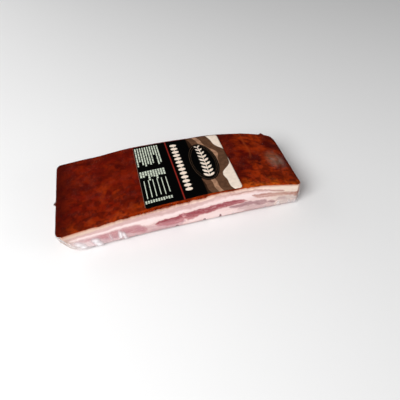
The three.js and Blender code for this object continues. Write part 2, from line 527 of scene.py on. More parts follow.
class Graph:
    """Short ways to add nodes to one node tree."""

    def __init__(self, tree: Tree) -> None:
        """Keeps the tree that the nodes go into."""
        self.tree = tree

    def node(self, kind: str, feeds: Feeds, **settings: object) -> Node:
        """Adds a node.

        Args:
            kind: Blender's name of the node's type.
            feeds: What goes into its inputs, by name or number.
            **settings: The node's own settings.

        Returns:
            The new node.
        """
        new = self.tree.nodes.new(kind)
        for key, value in settings.items():
            setattr(new, key, value)
        self.feed(new, feeds)
        return new

    def feed(self, node: Node, feeds: Feeds) -> None:
        """Links outputs to a node's inputs, or sets the inputs' plain values.

        Args:
            node: The node.
            feeds: What goes into its inputs, by name or number.
        """
        for key, value in feeds.items():
            if isinstance(value, bpy.types.NodeSocket):
                self.tree.links.new(value, node.inputs[key])
            else:
                node.inputs[key].default_value = value

    def first(self, kind: str, feeds: Feeds, **settings: object) -> Socket:
        """Adds a node and returns its first output."""
        return self.node(kind, feeds, **settings).outputs[0]

    def math(self, operation: str, *values: Fed) -> Socket:
        """Adds a Math node on its values and returns its output."""
        return self.first("ShaderNodeMath", dict(enumerate(values)), operation=operation)

    def chain(self, operation: str, values: tuple[Fed, ...]) -> Fed:
        """Works through values with one operation.

        Args:
            operation: The Math nodes' operation.
            values: The values, from first to last.

        Returns:
            The result, which is the value itself where there is only one.
        """
        total = values[0]
        for value in values[1:]:
            total = self.math(operation, total, value)
        return total

    def times(self, *values: Fed) -> Fed:
        """Product of the values."""
        return self.chain("MULTIPLY", values)

    def plus(self, *values: Fed) -> Fed:
        """Sum of the values."""
        return self.chain("ADD", values)

    def less(self, first: Fed, second: Fed) -> Socket:
        """Difference of the values."""
        return self.math("SUBTRACT", first, second)

    def over(self, first: Fed, second: Fed) -> Socket:
        """Quotient of the values."""
        return self.math("DIVIDE", first, second)

    def mix(self, share: Fed, first: Fed, second: Fed) -> Socket:
        """Mixes two colours, with the share telling how much there is of the second."""
        return self.node("ShaderNodeMix", {0: share, 6: first, 7: second}, data_type="RGBA").outputs[2]

    def tint(self, colour: Fed, tone: Tone, *shares: Fed) -> Socket:
        """Mixes a tone into a colour by the product of the shares."""
        return self.mix(self.times(*shares), colour, tone.colour)

    def rise(self, value: Fed, low: Fed, high: Fed) -> Socket:
        """Smooth step of a value from 0 at low to 1 at high."""
        feeds = {"Value": value, "From Min": low, "From Max": high}
        return self.node("ShaderNodeMapRange", feeds, interpolation_type="SMOOTHSTEP").outputs["Result"]

    def noise(self, place: Fed, grain: Triple, detail: float = 2.0, distortion: float = 0.0) -> Socket:
        """Adds soft noise.

        Args:
            place: Vector in millimetres.
            grain: Size of the noise's lumps along each axis, in millimetres.
            detail: How many finer layers it has.
            distortion: How much it is stirred.

        Returns:
            Numbers round 0.5.
        """
        scale = tuple(1 / size for size in grain)
        scaled = self.first("ShaderNodeVectorMath", {0: place, 1: scale}, operation="MULTIPLY")
        feeds = {"Vector": scaled, "Scale": 1.0, "Detail": detail, "Distortion": distortion}
        return self.first("ShaderNodeTexNoise", feeds)

    def from_oval(self, x: Socket, y: Socket, oval: Oval) -> Socket:
        """Squared distance from an oval's middle.

        Args:
            x: Place along.
            y: Place across.
            oval: The oval.

        Returns:
            Numbers that are 1 on the oval's rim.
        """
        rows = zip((x, y), oval.middle, oval.half)
        a, b = (self.over(self.less(at, centre), size) for at, centre, size in rows)
        return self.plus(self.times(a, a), self.times(b, b))

    def spot(self, x: Socket, y: Socket, oval: Oval) -> Socket:
        """Soft spot that fades from near an oval's middle to a little past its rim."""
        return self.rise(self.from_oval(x, y, oval), 1.2, 0.1)

    def bump(self, strength: float, distance: float, height: Socket) -> Socket:
        """Normal of a surface with a fine relief."""
        feeds = {"Strength": strength, "Distance": distance, "Height": height}
        return self.first("ShaderNodeBump", feeds)

    def parts(self, vector: Fed) -> tuple[Socket, Socket, Socket]:
        """Splits a vector into its three numbers."""
        split = self.node("ShaderNodeSeparateXYZ", {0: vector})
        return split.outputs[0], split.outputs[1], split.outputs[2]

    def vector(self, x: Fed, y: Fed, z: Fed) -> Socket:
        """Joins three numbers into a vector."""
        return self.first("ShaderNodeCombineXYZ", {0: x, 1: y, 2: z})

    def attribute(self, name: str, kind: str = "Vector") -> Socket:
        """Output of a mesh attribute: Vector for three numbers, Fac for one."""
        return self.node("ShaderNodeAttribute", {}, attribute_name=name).outputs[kind]

    def use(self, group: Tree, feeds: Feeds) -> Node:
        """Places a shared node group."""
        return self.node("ShaderNodeGroup", feeds, node_tree=group)


FLOAT, INTEGER = "NodeSocketFloat", "NodeSocketInt"
Fill = Callable[[Graph, dict[str, Socket]], Feeds]


def make_group(name: str, kind: str, inputs: dict[str, str], outputs: dict[str, str],
               fill: Fill) -> Tree:
    """Makes a node group.

    Args:
        name: Name of the group.
        kind: Blender's name of the tree's type.
        inputs: Socket types of its inputs, by name.
        outputs: Socket types of its outputs, by name.
        fill: Adds the nodes, given the graph and the inputs, and returns what feeds each output.

    Returns:
        The group.
    """
    tree = bpy.data.node_groups.new(name, kind)
    for direction, sockets in (("INPUT", inputs), ("OUTPUT", outputs)):
        for key, socket in sockets.items():
            tree.interface.new_socket(key, in_out=direction, socket_type=socket)
    graph = Graph(tree)
    given = tree.nodes.new("NodeGroupInput")
    results = fill(graph, {key: given.outputs[key] for key in inputs})
    graph.feed(tree.nodes.new("NodeGroupOutput"), results)
    return tree


def new_material(name: str) -> tuple[Material, Graph, Node, Node]:
    """Starts a material.

    Args:
        name: Name of the material.

    Returns:
        The material, its graph, its Principled node and its output node.
    """
    material = bpy.data.materials.new(name)
    material.use_nodes = True
    material.node_tree.nodes.clear()
    graph = Graph(material.node_tree)
    surface = graph.node("ShaderNodeBsdfPrincipled", {})
    output = graph.node("ShaderNodeOutputMaterial", {"Surface": surface.outputs[0]})
    return material, graph, surface, output


def fill_mottle(graph: Graph, given: dict[str, Socket]) -> Feeds:
    """Nodes of the mottle group: broad patches, smaller clouds and a fine grain.

    Args:
        graph: Graph of the group.
        given: The group's inputs.

    Returns:
        What feeds its outputs.
    """
    feeds = {0: given["Place"], "Scale": given["Finer"]}
    place = graph.first("ShaderNodeVectorMath", feeds, operation="SCALE")
    broad = graph.noise(place, (48, 40, 30), 2.0, 0.6)
    cloud = graph.noise(place, (14, 12, 9), 1.6, 0.4)
    grain = graph.noise(place, (2.2, 2.0, 1.6), 3.0)
    return {"Broad": graph.rise(broad, 0.36, 0.64), "Cloud": graph.rise(cloud, 0.34, 0.66),
            "Grain": grain}


def fill_band(graph: Graph, given: dict[str, Socket]) -> Feeds:
    """Nodes of the band group: what lies between two edges, one above the other.

    Args:
        graph: Graph of the group.
        given: The group's inputs.

    Returns:
        What feeds its output.
    """
    sides = (("Top", "Up", "Top Softness"), ("Up", "Bottom", "Bottom Softness"))
    masks = []
    for names in sides:
        high, low, soft = (given[name] for name in names)
        masks.append(graph.rise(graph.less(high, low), graph.times(soft, -1.0), soft))
    return {"Mask": graph.times(*masks)}


# Finishes


@dataclass(frozen=True)
class Band:
    """A layer of the cut face: its edges, colour, strength and softness, and whether it is sunken lean.

    Each row of the edges gives a place along the slab, and the top and the bottom there as shares of
    its height.
    """

    edges: tuple[Triple, ...]
    colour: tuple[int, int, int]
    strength: float
    soft_top: float = 0.03
    soft_bottom: float = 0.03
    lean: bool = True

    def line(self, number: int) -> tuple[Pair, ...]:
        """Places and heights of one edge, 1 for the top and 2 for the bottom."""
        return tuple((row[0], row[number]) for row in self.edges)

    def mask(self, along_x: Array, up: Array) -> Array:
        """How much of the band lies at each point.

        Args:
            along_x: Places along the slab.
            up: Shares of its height.

        Returns:
            Numbers from 0 to 1.
        """
        top, bottom = (np.interp(along_x, *zip(*self.line(number))) for number in (1, 2))
        below_top = rise(-self.soft_top, self.soft_top, top - up)
        return below_top * rise(-self.soft_bottom, self.soft_bottom, up - bottom)


BANDS = {
    "white fat": Band(((-150, 0.6, 0.66), (-128, 0.7, 0.62), (-90, 0.69, 0.6), (-60, 0.7, 0.56),
        (-45, 0.7, 0.45), (-34, 0.69, 0.5), (-12, 0.69, 0.53), (4, 0.68, 0.6), (30, 0.7, 0.62),
        (56, 0.74, 0.67), (80, 0.76, 0.55), (96, 0.73, 0.66), (110, 0.7, 0.7),
        (150, 0.6, 0.7)), (249, 229, 227), 0.92, 0.04, 0.05, False),
    "upper streak": Band(((-150, 0.7, 0.72), (-134, 0.8, 0.72), (-100, 0.82, 0.7), (-50, 0.82, 0.67),
        (0, 0.81, 0.64), (18, 0.8, 0.67), (33, 0.83, 0.75), (46, 0.89, 0.78), (62, 0.89, 0.79),
        (80, 0.87, 0.8), (100, 0.83, 0.76), (110, 0.8, 0.73), (118, 0.78, 0.7), (124, 0.77, 0.69),
        (128, 0.68, 0.76), (150, 0.6, 0.76)), (200, 156, 154), 0.8, 0.03, 0.04),
    "thin streak": Band(((-150, 0.6, 0.7), (48, 0.76, 0.8), (58, 0.825, 0.795), (80, 0.85, 0.82),
        (100, 0.82, 0.79), (110, 0.78, 0.74), (122, 0.76, 0.7), (127, 0.68, 0.73),
        (150, 0.6, 0.7)), (176, 122, 104), 0.75, 0.015, 0.02),
    "pale lean": Band(((-150, 0.45, 0.02), (-138, 0.58, -0.1), (-104, 0.59, -0.1), (-98, 0.5, 0.1),
        (-94, 0.2, 0.3)), (230, 209, 211), 0.8, 0.05, 0.05),
    "low lean": Band(((-150, 0.3, 0.35), (-136, 0.42, 0.48), (-130, 0.58, 0.49), (-120, 0.6, 0.46),
        (-112, 0.58, 0.2), (-100, 0.59, -0.1), (-80, 0.57, -0.1), (-68, 0.57, -0.1), (-58, 0.51, -0.1),
        (-50, 0.44, -0.1), (-41, 0.38, -0.1), (-30, 0.34, -0.1), (-12, 0.34, 0.0), (-4, 0.3, 0.14),
        (0, 0.2, 0.2), (4, 0.1, 0.14)), (202, 160, 164), 0.85, 0.05, 0.05),
    "redder lean": Band(((-150, 0.4, 0.45), (-112, 0.52, 0.42), (-98, 0.56, 0.34), (-85, 0.55, 0.3),
        (-70, 0.55, 0.27), (-60, 0.51, 0.18), (-53, 0.47, 0.15), (-48, 0.38, 0.2),
        (-44, 0.3, 0.35)), (186, 120, 124), 0.85, 0.06, 0.07),
    "purple lean": Band(((-150, 0.2, 0.3), (-100, 0.28, 0.3), (-95, 0.36, 0.2), (-84, 0.35, 0.2),
        (-78, 0.38, 0.32), (-70, 0.4, 0.3), (-64, 0.38, 0.32), (-58, 0.42, 0.24), (-54, 0.42, 0.22),
        (-48, 0.3, 0.4), (-34, 0.3, 0.34), (-30, 0.35, 0.24), (-16, 0.36, 0.17), (-4, 0.33, 0.22),
        (0, 0.26, 0.3)), (178, 112, 124), 0.7, 0.06, 0.06),
    "middle lean": Band(((-150, 0.3, 0.4), (-40, 0.38, 0.42), (-33, 0.42, 0.33), (-29, 0.48, 0.27),
        (-24, 0.49, 0.22), (-20, 0.48, 0.2), (-9, 0.47, 0.22), (-6, 0.53, 0.24), (-1, 0.535, 0.29),
        (3, 0.53, 0.26), (11, 0.565, 0.26), (20, 0.55, 0.33), (29, 0.55, 0.33), (35, 0.61, 0.38),
        (45, 0.6, 0.41), (52, 0.615, 0.43), (62, 0.605, 0.45), (70, 0.6, 0.46), (76, 0.55, 0.5),
        (80, 0.51, 0.52), (84, 0.45, 0.55)), (172, 70, 80), 0.95, 0.022, 0.035),
    "dark lean": Band(((-150, 0.35, 0.4), (-37, 0.42, 0.42), (-30, 0.48, 0.38), (-24, 0.49, 0.36),
        (-18, 0.47, 0.31), (-8, 0.47, 0.35), (-5, 0.51, 0.4), (4, 0.52, 0.36), (12, 0.555, 0.36),
        (22, 0.54, 0.37), (29, 0.54, 0.36), (36, 0.6, 0.4), (46, 0.59, 0.43), (54, 0.605, 0.46),
        (64, 0.59, 0.48), (69, 0.57, 0.5), (74, 0.51, 0.53),
        (80, 0.48, 0.54)), (144, 44, 58), 0.85, 0.025, 0.06),
    "pale under": Band(((-36, 0.2, 0.3), (-31, 0.37, 0.22), (-16, 0.36, 0.2), (-8, 0.33, 0.22),
        (-2, 0.2, 0.3)), (206, 152, 158), 0.5, 0.06, 0.06),
    "fat gap": Band(((-3.6, 0.45, 0.5), (-2.6, 0.56, 0.33), (-0.6, 0.57, 0.33),
        (0.4, 0.45, 0.5)), (210, 144, 148), 0.7, 0.03, 0.05, False),
    "low right": Band(((-150, -0.2, -0.1), (60, -0.1, 0.0), (68, 0.28, -0.1), (80, 0.4, -0.1),
        (92, 0.37, -0.1), (103, 0.22, -0.1), (109, 0.32, -0.1), (114, 0.3, 0.1), (119, 0.46, 0.33),
        (126, 0.46, 0.35), (130, 0.3, 0.35)), (184, 148, 150), 0.65, 0.05, 0.05, False),
    "right lean": Band(((-150, 0.35, 0.4), (52, 0.38, 0.42), (58, 0.43, 0.36), (66, 0.42, 0.31),
        (72, 0.46, 0.3), (80, 0.47, 0.31), (87, 0.44, 0.33), (91, 0.45, 0.27), (97, 0.45, 0.25),
        (104, 0.41, 0.28), (107, 0.36, 0.3), (111, 0.37, 0.26), (115, 0.34, 0.25),
        (119, 0.28, 0.32)), (152, 100, 106), 0.9, 0.03, 0.04),
    "far lean": Band(((-150, 0.55, 0.7), (82, 0.62, 0.68), (86, 0.69, 0.62), (97, 0.69, 0.54),
        (106, 0.68, 0.52), (118, 0.66, 0.52), (130, 0.67, 0.51), (140, 0.67, 0.47),
        (150, 0.65, 0.42)), (180, 122, 108), 0.9, 0.025, 0.04),
    "smoked lean": Band(((-150, 0.5, 0.6), (134, 0.55, 0.6), (138, 0.63, 0.49),
        (150, 0.66, 0.42)), (176, 104, 68), 0.95, 0.04, 0.06),
    "low white": Band(((-150, -0.1, 0.1), (0, 0.1, 0.2), (8, 0.24, 0.14), (24, 0.3, 0.12),
        (30, 0.33, -0.1), (38, 0.34, -0.1), (42, 0.32, 0.1), (56, 0.3, -0.05), (64, 0.24, 0.02),
        (74, 0.18, 0.1), (80, 0.1, 0.2), (150, -0.1, 0.1)), (248, 226, 223), 0.82, 0.05, 0.05, False),
    "shaded foot": Band(((-150, 0.1, -0.2), (-48, 0.12, -0.2), (-40, 0.19, -0.2), (-30, 0.16, -0.2),
        (-22, 0.11, -0.2), (28, 0.09, -0.2), (31, -0.1, -0.2), (39, -0.1, -0.2), (48, 0.05, -0.2),
        (70, 0.1, -0.2)), (176, 130, 134), 0.6, 0.06, 0.05, False),
    "vein spots": Band(((-16, -0.1, 0.2), (-13.5, 0.13, -0.1), (-10.5, 0.11, -0.1), (-8, -0.1, 0.2),
        (21, -0.1, 0.2), (23, 0.15, -0.1), (26, 0.12, -0.1), (27.5, -0.1, 0.2), (41.5, -0.1, 0.2),
        (43, 0.19, -0.1), (45.5, 0.18, -0.1), (47, -0.1, 0.2)), (104, 40, 54), 0.95, 0.03, 0.03),
}
RIND_EDGE = ((-150, 0.93), (-140, 0.975), (-122, 0.985), (-108, 0.965), (-96, 0.94), (-80, 0.925),
             (-62, 0.905), (-42, 0.885), (-20, 0.885), (-6, 0.895), (4, 0.89), (12, 0.91), (19, 0.885),
             (25, 0.9), (30, 0.935), (45, 0.945), (60, 0.95), (78, 0.965), (98, 0.98), (125, 0.985),
             (150, 0.975))


@dataclass(frozen=True)
class CuredMeat:
    """Finish of the slab: smoked rind, layers of fat and lean in the cuts, smoke at the right end."""

    form: SlabForm
    most_rind: float = 0.98
    smoke_reach: Pair = (6.5, 0.5)
    crust_reach: Pair = (3.5, 0.5)
    crust_height: Pair = (5.0, 18.0)
    rust_spot: Oval = Oval((-84.0, -12.0), (17.0, 20.0))
    dull_spot: Oval = Oval((130.0, -4.0), (13.0, 17.0))
    cell_size: Triple = (7.0, 6.5, 5.0)
    pock_size: Triple = (3.6, 3.4, 3.0)
    pore_size: Triple = (1.3, 1.1, 1.2)
    fibre_size: Triple = (15.0, 10.0, 0.8)
    marbling_size: Triple = (10.0, 9.0, 1.8)
    rind_blur: float = 0.015
    smoke_under_rind: float = 0.10

    def edge(self, graph: Graph, reach: Socket, points: tuple[Pair, ...]) -> Socket:
        """Height of a line along the cut face, which runs on level past its first and last points.

        Args:
            graph: Graph of the material.
            reach: Place along the slab.
            points: Places along the slab with the line's height there.

        Returns:
            The height, as a share of the slab's.
        """
        half = self.form.half_length
        share = graph.first("ShaderNodeMapRange", {"Value": reach, "From Min": -half, "From Max": half})
        line = graph.node("ShaderNodeFloatCurve", {"Value": share})
        line.mapping.clip_min_y, line.mapping.clip_max_y = -1.0, 2.0
        curve = line.mapping.curves[0]
        curve.points[0].location = (0.0, points[0][1])
        curve.points[1].location = (1.0, points[-1][1])
        for x, height in points:
            if abs(x) < half:
                curve.points.new((x + half) / (2 * half), height)
        for point in curve.points:
            point.handle_type = "AUTO_CLAMPED"
        line.mapping.update()
        return line.outputs[0]

    def rind(self, graph: Graph, place: Socket, mottle: Node) -> Socket:
        """Colour of the smoked rind, with painted shade at its left end and in its hollows, a painted
        highlight along its fold and a painted reflection on its right.

        Args:
            graph: Graph of the material.
            place: Plain place of the point.
            mottle: The mottle group's node.

        Returns:
            The colour.
        """
        x, y, _ = graph.parts(place)
        broad, cloud, grain = (mottle.outputs[key] for key in ("Broad", "Cloud", "Grain"))
        colour = graph.mix(broad, Tone.RIND_DEEP.colour, Tone.RIND_RED.colour)
        colour = graph.tint(colour, Tone.RIND_RUST, cloud, 0.6)
        near_cut = graph.plus(y, graph.times(cloud, 14.0), graph.rise(x, 40.0, 110.0))
        amber = graph.tint(Tone.RIND_AMBER.colour, Tone.RIND_AMBER_RIGHT, graph.rise(x, 50.0, 100.0))
        colour = graph.mix(graph.times(graph.rise(near_cut, -30.0, -53.0), 0.95), colour, amber)
        colour = graph.tint(colour, Tone.RIND_SPOT, graph.spot(x, y, self.rust_spot), cloud)
        colour = graph.tint(colour, Tone.RIND_RUST_RIGHT, graph.rise(x, 72.0, 104.0), cloud, 0.8)
        cell = graph.rise(graph.noise(place, self.cell_size, 1.0, 0.2), 0.46, 0.62)
        depth = graph.plus(0.3, graph.times(graph.rise(y, 10.0, -36.0), 0.26))
        colour = graph.tint(colour, Tone.RIND_CELL, cell, depth)
        # The rind darkens strongly towards its left end: painted shade where it turns away from the
        # light.
        colour = graph.tint(colour, Tone.RIND_LEFT_EDGE, graph.rise(x, -118.0, -149.0), 0.75)
        colour = graph.tint(colour, Tone.RIND_RIGHT_EDGE, graph.rise(x, 124.0, 150.0), 0.45)
        # Lighter greyish patch on the right of the rind: a painted reflection of the film.
        colour = graph.tint(colour, Tone.RIND_DULL, graph.spot(x, y, self.dull_spot), 0.35)
        pock = graph.rise(graph.noise(place, self.pock_size, 1.0, 0.2), 0.50, 0.68)
        colour = graph.tint(colour, Tone.RIND_POCK, pock, 0.25)
        # Darker in the hollows of the rind's relief: painted shade.
        hollow_shade = graph.rise(graph.attribute("relief", "Fac"), -0.02, -0.3)
        colour = graph.tint(colour, Tone.RIND_HOLLOW, hollow_shade, 0.45)
        # Lighter along the ridge of the rind's fold: a painted highlight.
        colour = graph.tint(colour, Tone.RIND_FOLD, graph.attribute("fold", "Fac"), 0.55)
        return graph.tint(colour, Tone.RIND_GRAIN, graph.rise(grain, 0.46, 0.64), 0.10)

    def layers(self, graph: Graph, place: Socket, band: Tree) -> tuple[Socket, Socket]:
        """Colour of the layered cut, from the fat under the rind down to the lean.

        Args:
            graph: Graph of the material.
            place: Plain place of the point.
            band: The band group.

        Returns:
            The colour and how much rind lies at each point.
        """
        x, y, z = graph.parts(place)
        into = graph.rise(y, -self.form.half_width, 10.0)
        stirs = (((22, 30, 14), 3.0, 0.3), ((60, 34, 400), 2.0), ((5, 10, 12), 4.0, 0.6))
        wander, sway, scallop = (graph.less(graph.noise(place, *stir), 0.5) for stir in stirs)
        reach = graph.plus(x, graph.times(wander, 9.0), graph.times(into, 34.0))
        plain_up = graph.over(z, self.form.box_height)
        up = graph.plus(plain_up, graph.times(wander, 0.07), graph.times(scallop, 0.11),
                        graph.times(sway, into, 0.5))

        fibre = graph.noise(place, self.fibre_size, 4.0, 0.5)
        upper = graph.tint(Tone.UPPER_FAT.colour, Tone.UPPER_FAT_RIGHT, graph.rise(x, -70.0, 60.0))
        colour = graph.mix(graph.rise(up, 0.76, 0.86), Tone.FAT.colour, upper)
        colour = graph.tint(colour, Tone.FAT_RIGHT, graph.rise(x, 96.0, 128.0))
        low = graph.rise(up, 0.60, 0.46)
        colour = graph.tint(colour, Tone.LOW_FAT_RIGHT, graph.rise(x, 108.0, 130.0), low, 0.8)
        colour = graph.tint(colour, Tone.FAT_LEFT, graph.rise(x, -112.0, -140.0), 0.8)
        colour = graph.tint(colour, Tone.FAT_FIBRE, graph.rise(fibre, 0.50, 0.72), 0.28)
        ragged = graph.plus(0.66, graph.times(graph.rise(fibre, 0.64, 0.40), 0.34))
        for part in BANDS.values():
            top, bottom = (self.edge(graph, reach, part.line(number)) for number in (1, 2))
            feeds = {"Up": up, "Top": top, "Bottom": bottom, "Top Softness": part.soft_top,
                     "Bottom Softness": part.soft_bottom}
            mask = graph.use(band, feeds).outputs["Mask"]
            colour = graph.mix(graph.times(mask, part.strength, ragged), colour, srgb(*part.colour))
        marbling = graph.rise(graph.noise(place, self.marbling_size, 4.0, 1.2), 0.58, 0.70)
        colour = graph.tint(colour, Tone.MARBLING, marbling, 0.45)

        edge = graph.plus(self.edge(graph, x, RIND_EDGE), graph.times(scallop, 0.10),
                          graph.times(sway, into, 0.04))
        edge = graph.math("MINIMUM", edge, self.most_rind)
        is_rind = graph.rise(plain_up, graph.less(edge, self.rind_blur), graph.plus(edge, self.rind_blur))
        amber = graph.rise(plain_up, graph.less(edge, self.smoke_under_rind), edge)
        return graph.tint(colour, Tone.UNDER_RIND, amber, 0.68), is_rind

    def build(self, mottle: Tree, band: Tree) -> Material:
        """Makes the material.

        Args:
            mottle: The mottle group.
            band: The band group.

        Returns:
            The material.
        """
        material, graph, surface, _ = new_material("cured_meat")
        place = graph.attribute("plain")
        x, y, z = graph.parts(place)
        patches = graph.use(mottle, {"Place": place, "Finer": 1.0})
        cloud = patches.outputs["Cloud"]
        cut, is_rind = self.layers(graph, place, band)

        half = self.form.half_length
        smoked = graph.rise(x, *(half - reach for reach in self.smoke_reach))
        cut = graph.tint(cut, Tone.SMOKED_END, smoked, graph.plus(0.5, graph.times(cloud, 0.18)))
        crust = graph.rise(x, *(reach - half for reach in self.crust_reach))
        cut = graph.tint(cut, Tone.CRUST, crust, graph.rise(z, *self.crust_height), 0.92)
        inner = graph.rise(graph.plus(y, graph.times(patches.outputs["Broad"], 8.0)), -55.0, -44.0)
        rib_side = graph.tint(Tone.RIB_LEAN.colour, Tone.RIB_FAT, cloud)
        cut = graph.mix(graph.times(graph.rise(z, 5.0, 0.5), inner, 0.8), cut, rib_side)
        cut = graph.tint(cut, Tone.EAR, graph.rise(graph.attribute("ear", "Fac"), 0.1, 0.5))

        pores = graph.times(graph.noise(place, self.pore_size, 2.0), is_rind)
        height = graph.plus(cloud, graph.times(pores, 0.6))
        graph.feed(surface, {
            "Base Color": graph.mix(is_rind, cut, self.rind(graph, place, patches)),
            "Roughness": graph.plus(0.42, graph.times(patches.outputs["Grain"], 0.2)),
            "Normal": graph.bump(0.35, 0.0004, height),
            "Specular IOR Level": 0.0,
        })
        return material


@dataclass(frozen=True)
class ClearFilm:
    """Finish of the film: see-through and glossy, and whitish where it is creased or stands off; the same
    whitish layer also paints highlights, glints and reflections on it.
    """

    name: str = "clear_film"
    haze: Optional[float] = None
    haze_roughness: float = 0.3
    gloss_roughness: float = 0.1
    most_gloss: float = 0.05
    refraction: float = 1.45
    corner_from: Pair = (-129.0, -139.0)
    bloom_from: Pair = (36.0, 41.0)

    def build(self) -> Material:
        """Makes the material, with a mirror and a whitish layer mixed over a clear sheet; the whitish
        layer also carries painted highlights.

        Returns:
            The material.
        """
        material, graph, surface, output = new_material(self.name)
        haze = graph.attribute("haze", "Fac") if self.haze is None else self.haze
        x, _, z = graph.parts(graph.attribute("plain"))
        tone = graph.tint(Tone.FILM_CREASE.colour, Tone.FILM_CORNER, graph.rise(x, *self.corner_from))
        # Where it lies over the rind, the whitish layer turns a warm grey, a painted sheen.
        tone = graph.tint(tone, Tone.FILM_BLOOM, graph.rise(z, *self.bloom_from))
        graph.feed(surface, {"Base Color": tone, "Roughness": self.haze_roughness})
        clear = graph.first("ShaderNodeBsdfTransparent", {"Color": WHITE})
        feeds = {"Color": WHITE, "Roughness": self.gloss_roughness}
        mirror = graph.first("ShaderNodeBsdfAnisotropic", feeds)
        facing = graph.first("ShaderNodeFresnel", {"IOR": self.refraction})
        outer = graph.less(1.0, graph.node("ShaderNodeNewGeometry", {}).outputs["Backfacing"])
        share = graph.times(graph.math("MINIMUM", facing, self.most_gloss), outer)
        gloss = graph.first("ShaderNodeMixShader", {0: share, 1: clear, 2: mirror})
        veil = graph.first("ShaderNodeMixShader", {0: haze, 1: gloss, 2: surface.outputs[0]})
        graph.feed(output, {"Surface": veil})
        return material


@dataclass(frozen=True)
class LabelPaper:
    """Finish of the label: a black field, a red stripe and wavy bands with a dark oval plaque on them."""

    stripe_at: float = -1.0
    stripe_half: float = 0.75
    margin_at: float = -45.1
    bands_at: float = 27.0
    band_widths: tuple[float, ...] = (9.0, 8.5, 5.5, 13.0)
    band_tones: tuple[Tone, ...] = (Tone.BROWN, Tone.TAN, Tone.BROWN, Tone.CREAM)
    band_blur: float = 0.35
    swing: float = 9.0
    swing_pace: float = 0.072
    swing_at: float = 8.0
    ripple: float = 1.8
    ripple_pace: float = 0.23
    blur: float = 0.2
    plaque: Oval = Oval((37.5, 1.0), (18.0, 35.0))

    def build(self, mottle: Tree) -> Material:
        """Makes the material.

        Args:
            mottle: The mottle group.

        Returns:
            The material.
        """
        material, graph, surface, _ = new_material("label_paper")
        place = graph.attribute("plain")
        x, y, _ = graph.parts(place)
        brushed = graph.use(mottle, {"Place": place, "Finer": 2.6}).outputs
        swing = graph.math("COSINE", graph.times(graph.less(y, self.swing_at), self.swing_pace))
        ripple = graph.math("SINE", graph.plus(graph.times(y, self.ripple_pace), 1.0))
        reach = graph.plus(x, graph.times(swing, -self.swing), graph.times(ripple, self.ripple),
                           graph.times(graph.less(brushed["Grain"], 0.5), 1.5))
        colour = Tone.DARK_BROWN.colour
        start = self.bands_at
        for tone, width in zip(self.band_tones, self.band_widths):
            start += width
            on_band = graph.rise(reach, start - self.band_blur, start + self.band_blur)
            colour = graph.tint(colour, tone, on_band)
        shade = graph.plus(0.3, graph.times(on_band, -0.22))
        colour = graph.tint(colour, Tone.DARK_BROWN, graph.rise(brushed["Cloud"], 0.2, 0.9), shade)
        off_plaque = graph.rise(graph.from_oval(x, y, self.plaque), 0.98, 1.02)
        in_bands = graph.rise(x, self.bands_at - self.blur, self.bands_at + self.blur)
        colour = graph.mix(graph.times(in_bands, off_plaque), Tone.BLACK.colour, colour)
        off_stripe = graph.math("ABSOLUTE", graph.less(x, self.stripe_at))
        stripe = graph.rise(off_stripe, self.stripe_half + self.blur, self.stripe_half - self.blur)
        colour = graph.tint(colour, Tone.RED, stripe)
        margin = graph.rise(x, self.margin_at + self.blur, self.margin_at - self.blur)
        graph.feed(surface, {
            "Base Color": graph.tint(colour, Tone.CUT_EDGE, margin),
            "Roughness": graph.plus(0.34, graph.times(brushed["Grain"], 0.16)),
            "Normal": graph.bump(0.15, 0.0002, brushed["Cloud"]),
            "Specular IOR Level": 0.02,
        })
        return material


@dataclass(frozen=True)
class Ink:
    """Finish of raised print: one tone, a little worn and uneven."""

    name: str
    tone: Tone
    worn: float = 0.25

    def build(self, mottle: Tree) -> Material:
        """Makes the material.

        Args:
            mottle: The mottle group.

        Returns:
            The material.
        """
        material, graph, surface, _ = new_material(self.name)
        brushed = graph.use(mottle, {"Place": graph.attribute("plain"), "Finer": 3.0}).outputs
        thin = graph.rise(brushed["Grain"], 0.5, 0.7)
        graph.feed(surface, {
            "Base Color": graph.tint(self.tone.colour, Tone.BROWN, thin, self.worn),
            "Roughness": graph.plus(0.4, graph.times(brushed["Cloud"], 0.15)),
            "Specular IOR Level": 0.15,
        })
        return material


# Geometry that repeats


def random_number(graph: Graph, low: Fed, high: Fed, key: Fed, seed: Fed) -> Socket:
    """Random number between low and high, the same for the same key and seed."""
    feeds = {2: low, 3: high, "ID": key, "Seed": seed}
    return graph.node("FunctionNodeRandomValue", feeds, data_type="FLOAT").outputs[1]


def disc(graph: Graph, sides: int) -> Socket:
    """Closed disc of radius 1 and thickness 1 with so many sides."""
    return graph.first("GeometryNodeMeshCylinder", {"Vertices": sides, "Radius": 1.0, "Depth": 1.0})


def scatter(graph: Graph, points: Socket, instance: Socket, **feeds: Fed) -> Socket:
    """Places an instance on every point, with further inputs of the node given by name."""
    feeds = {"Points": points, "Instance": instance, **feeds}
    return graph.first("GeometryNodeInstanceOnPoints", feeds)


def spaced(graph: Graph, curve: Socket, count: Fed) -> Node:
    """Evenly spaced points on a curve."""
    return graph.node("GeometryNodeCurveToPoints", {"Curve": curve, "Count": count}, mode="COUNT")


def ribbon(graph: Graph, curve: Socket, width: Fed, height: Fed) -> Socket:
    """Sweeps an upright rectangle along a curve.

    Args:
        graph: Graph of the tree.
        curve: The curve.
        width: Width of the rectangle.
        height: Height of the rectangle.

    Returns:
        The closed mesh.
    """
    upright = graph.first("GeometryNodeSetCurveNormal", {"Curve": curve}, mode="Z_UP")
    section = graph.first("GeometryNodeCurvePrimitiveQuadrilateral", {"Width": width, "Height": height})
    feeds = {"Curve": upright, "Profile Curve": section, "Fill Caps": True}
    return graph.first("GeometryNodeCurveToMesh", feeds)


def moved(graph: Graph, shape: Socket, position: Fed) -> Socket:
    """Sets the position of every point of a shape."""
    return graph.first("GeometryNodeSetPosition", {"Geometry": shape, "Position": position})


def index_of(graph: Graph) -> Socket:
    """Number of each point."""
    return graph.first("GeometryNodeInputIndex", {})


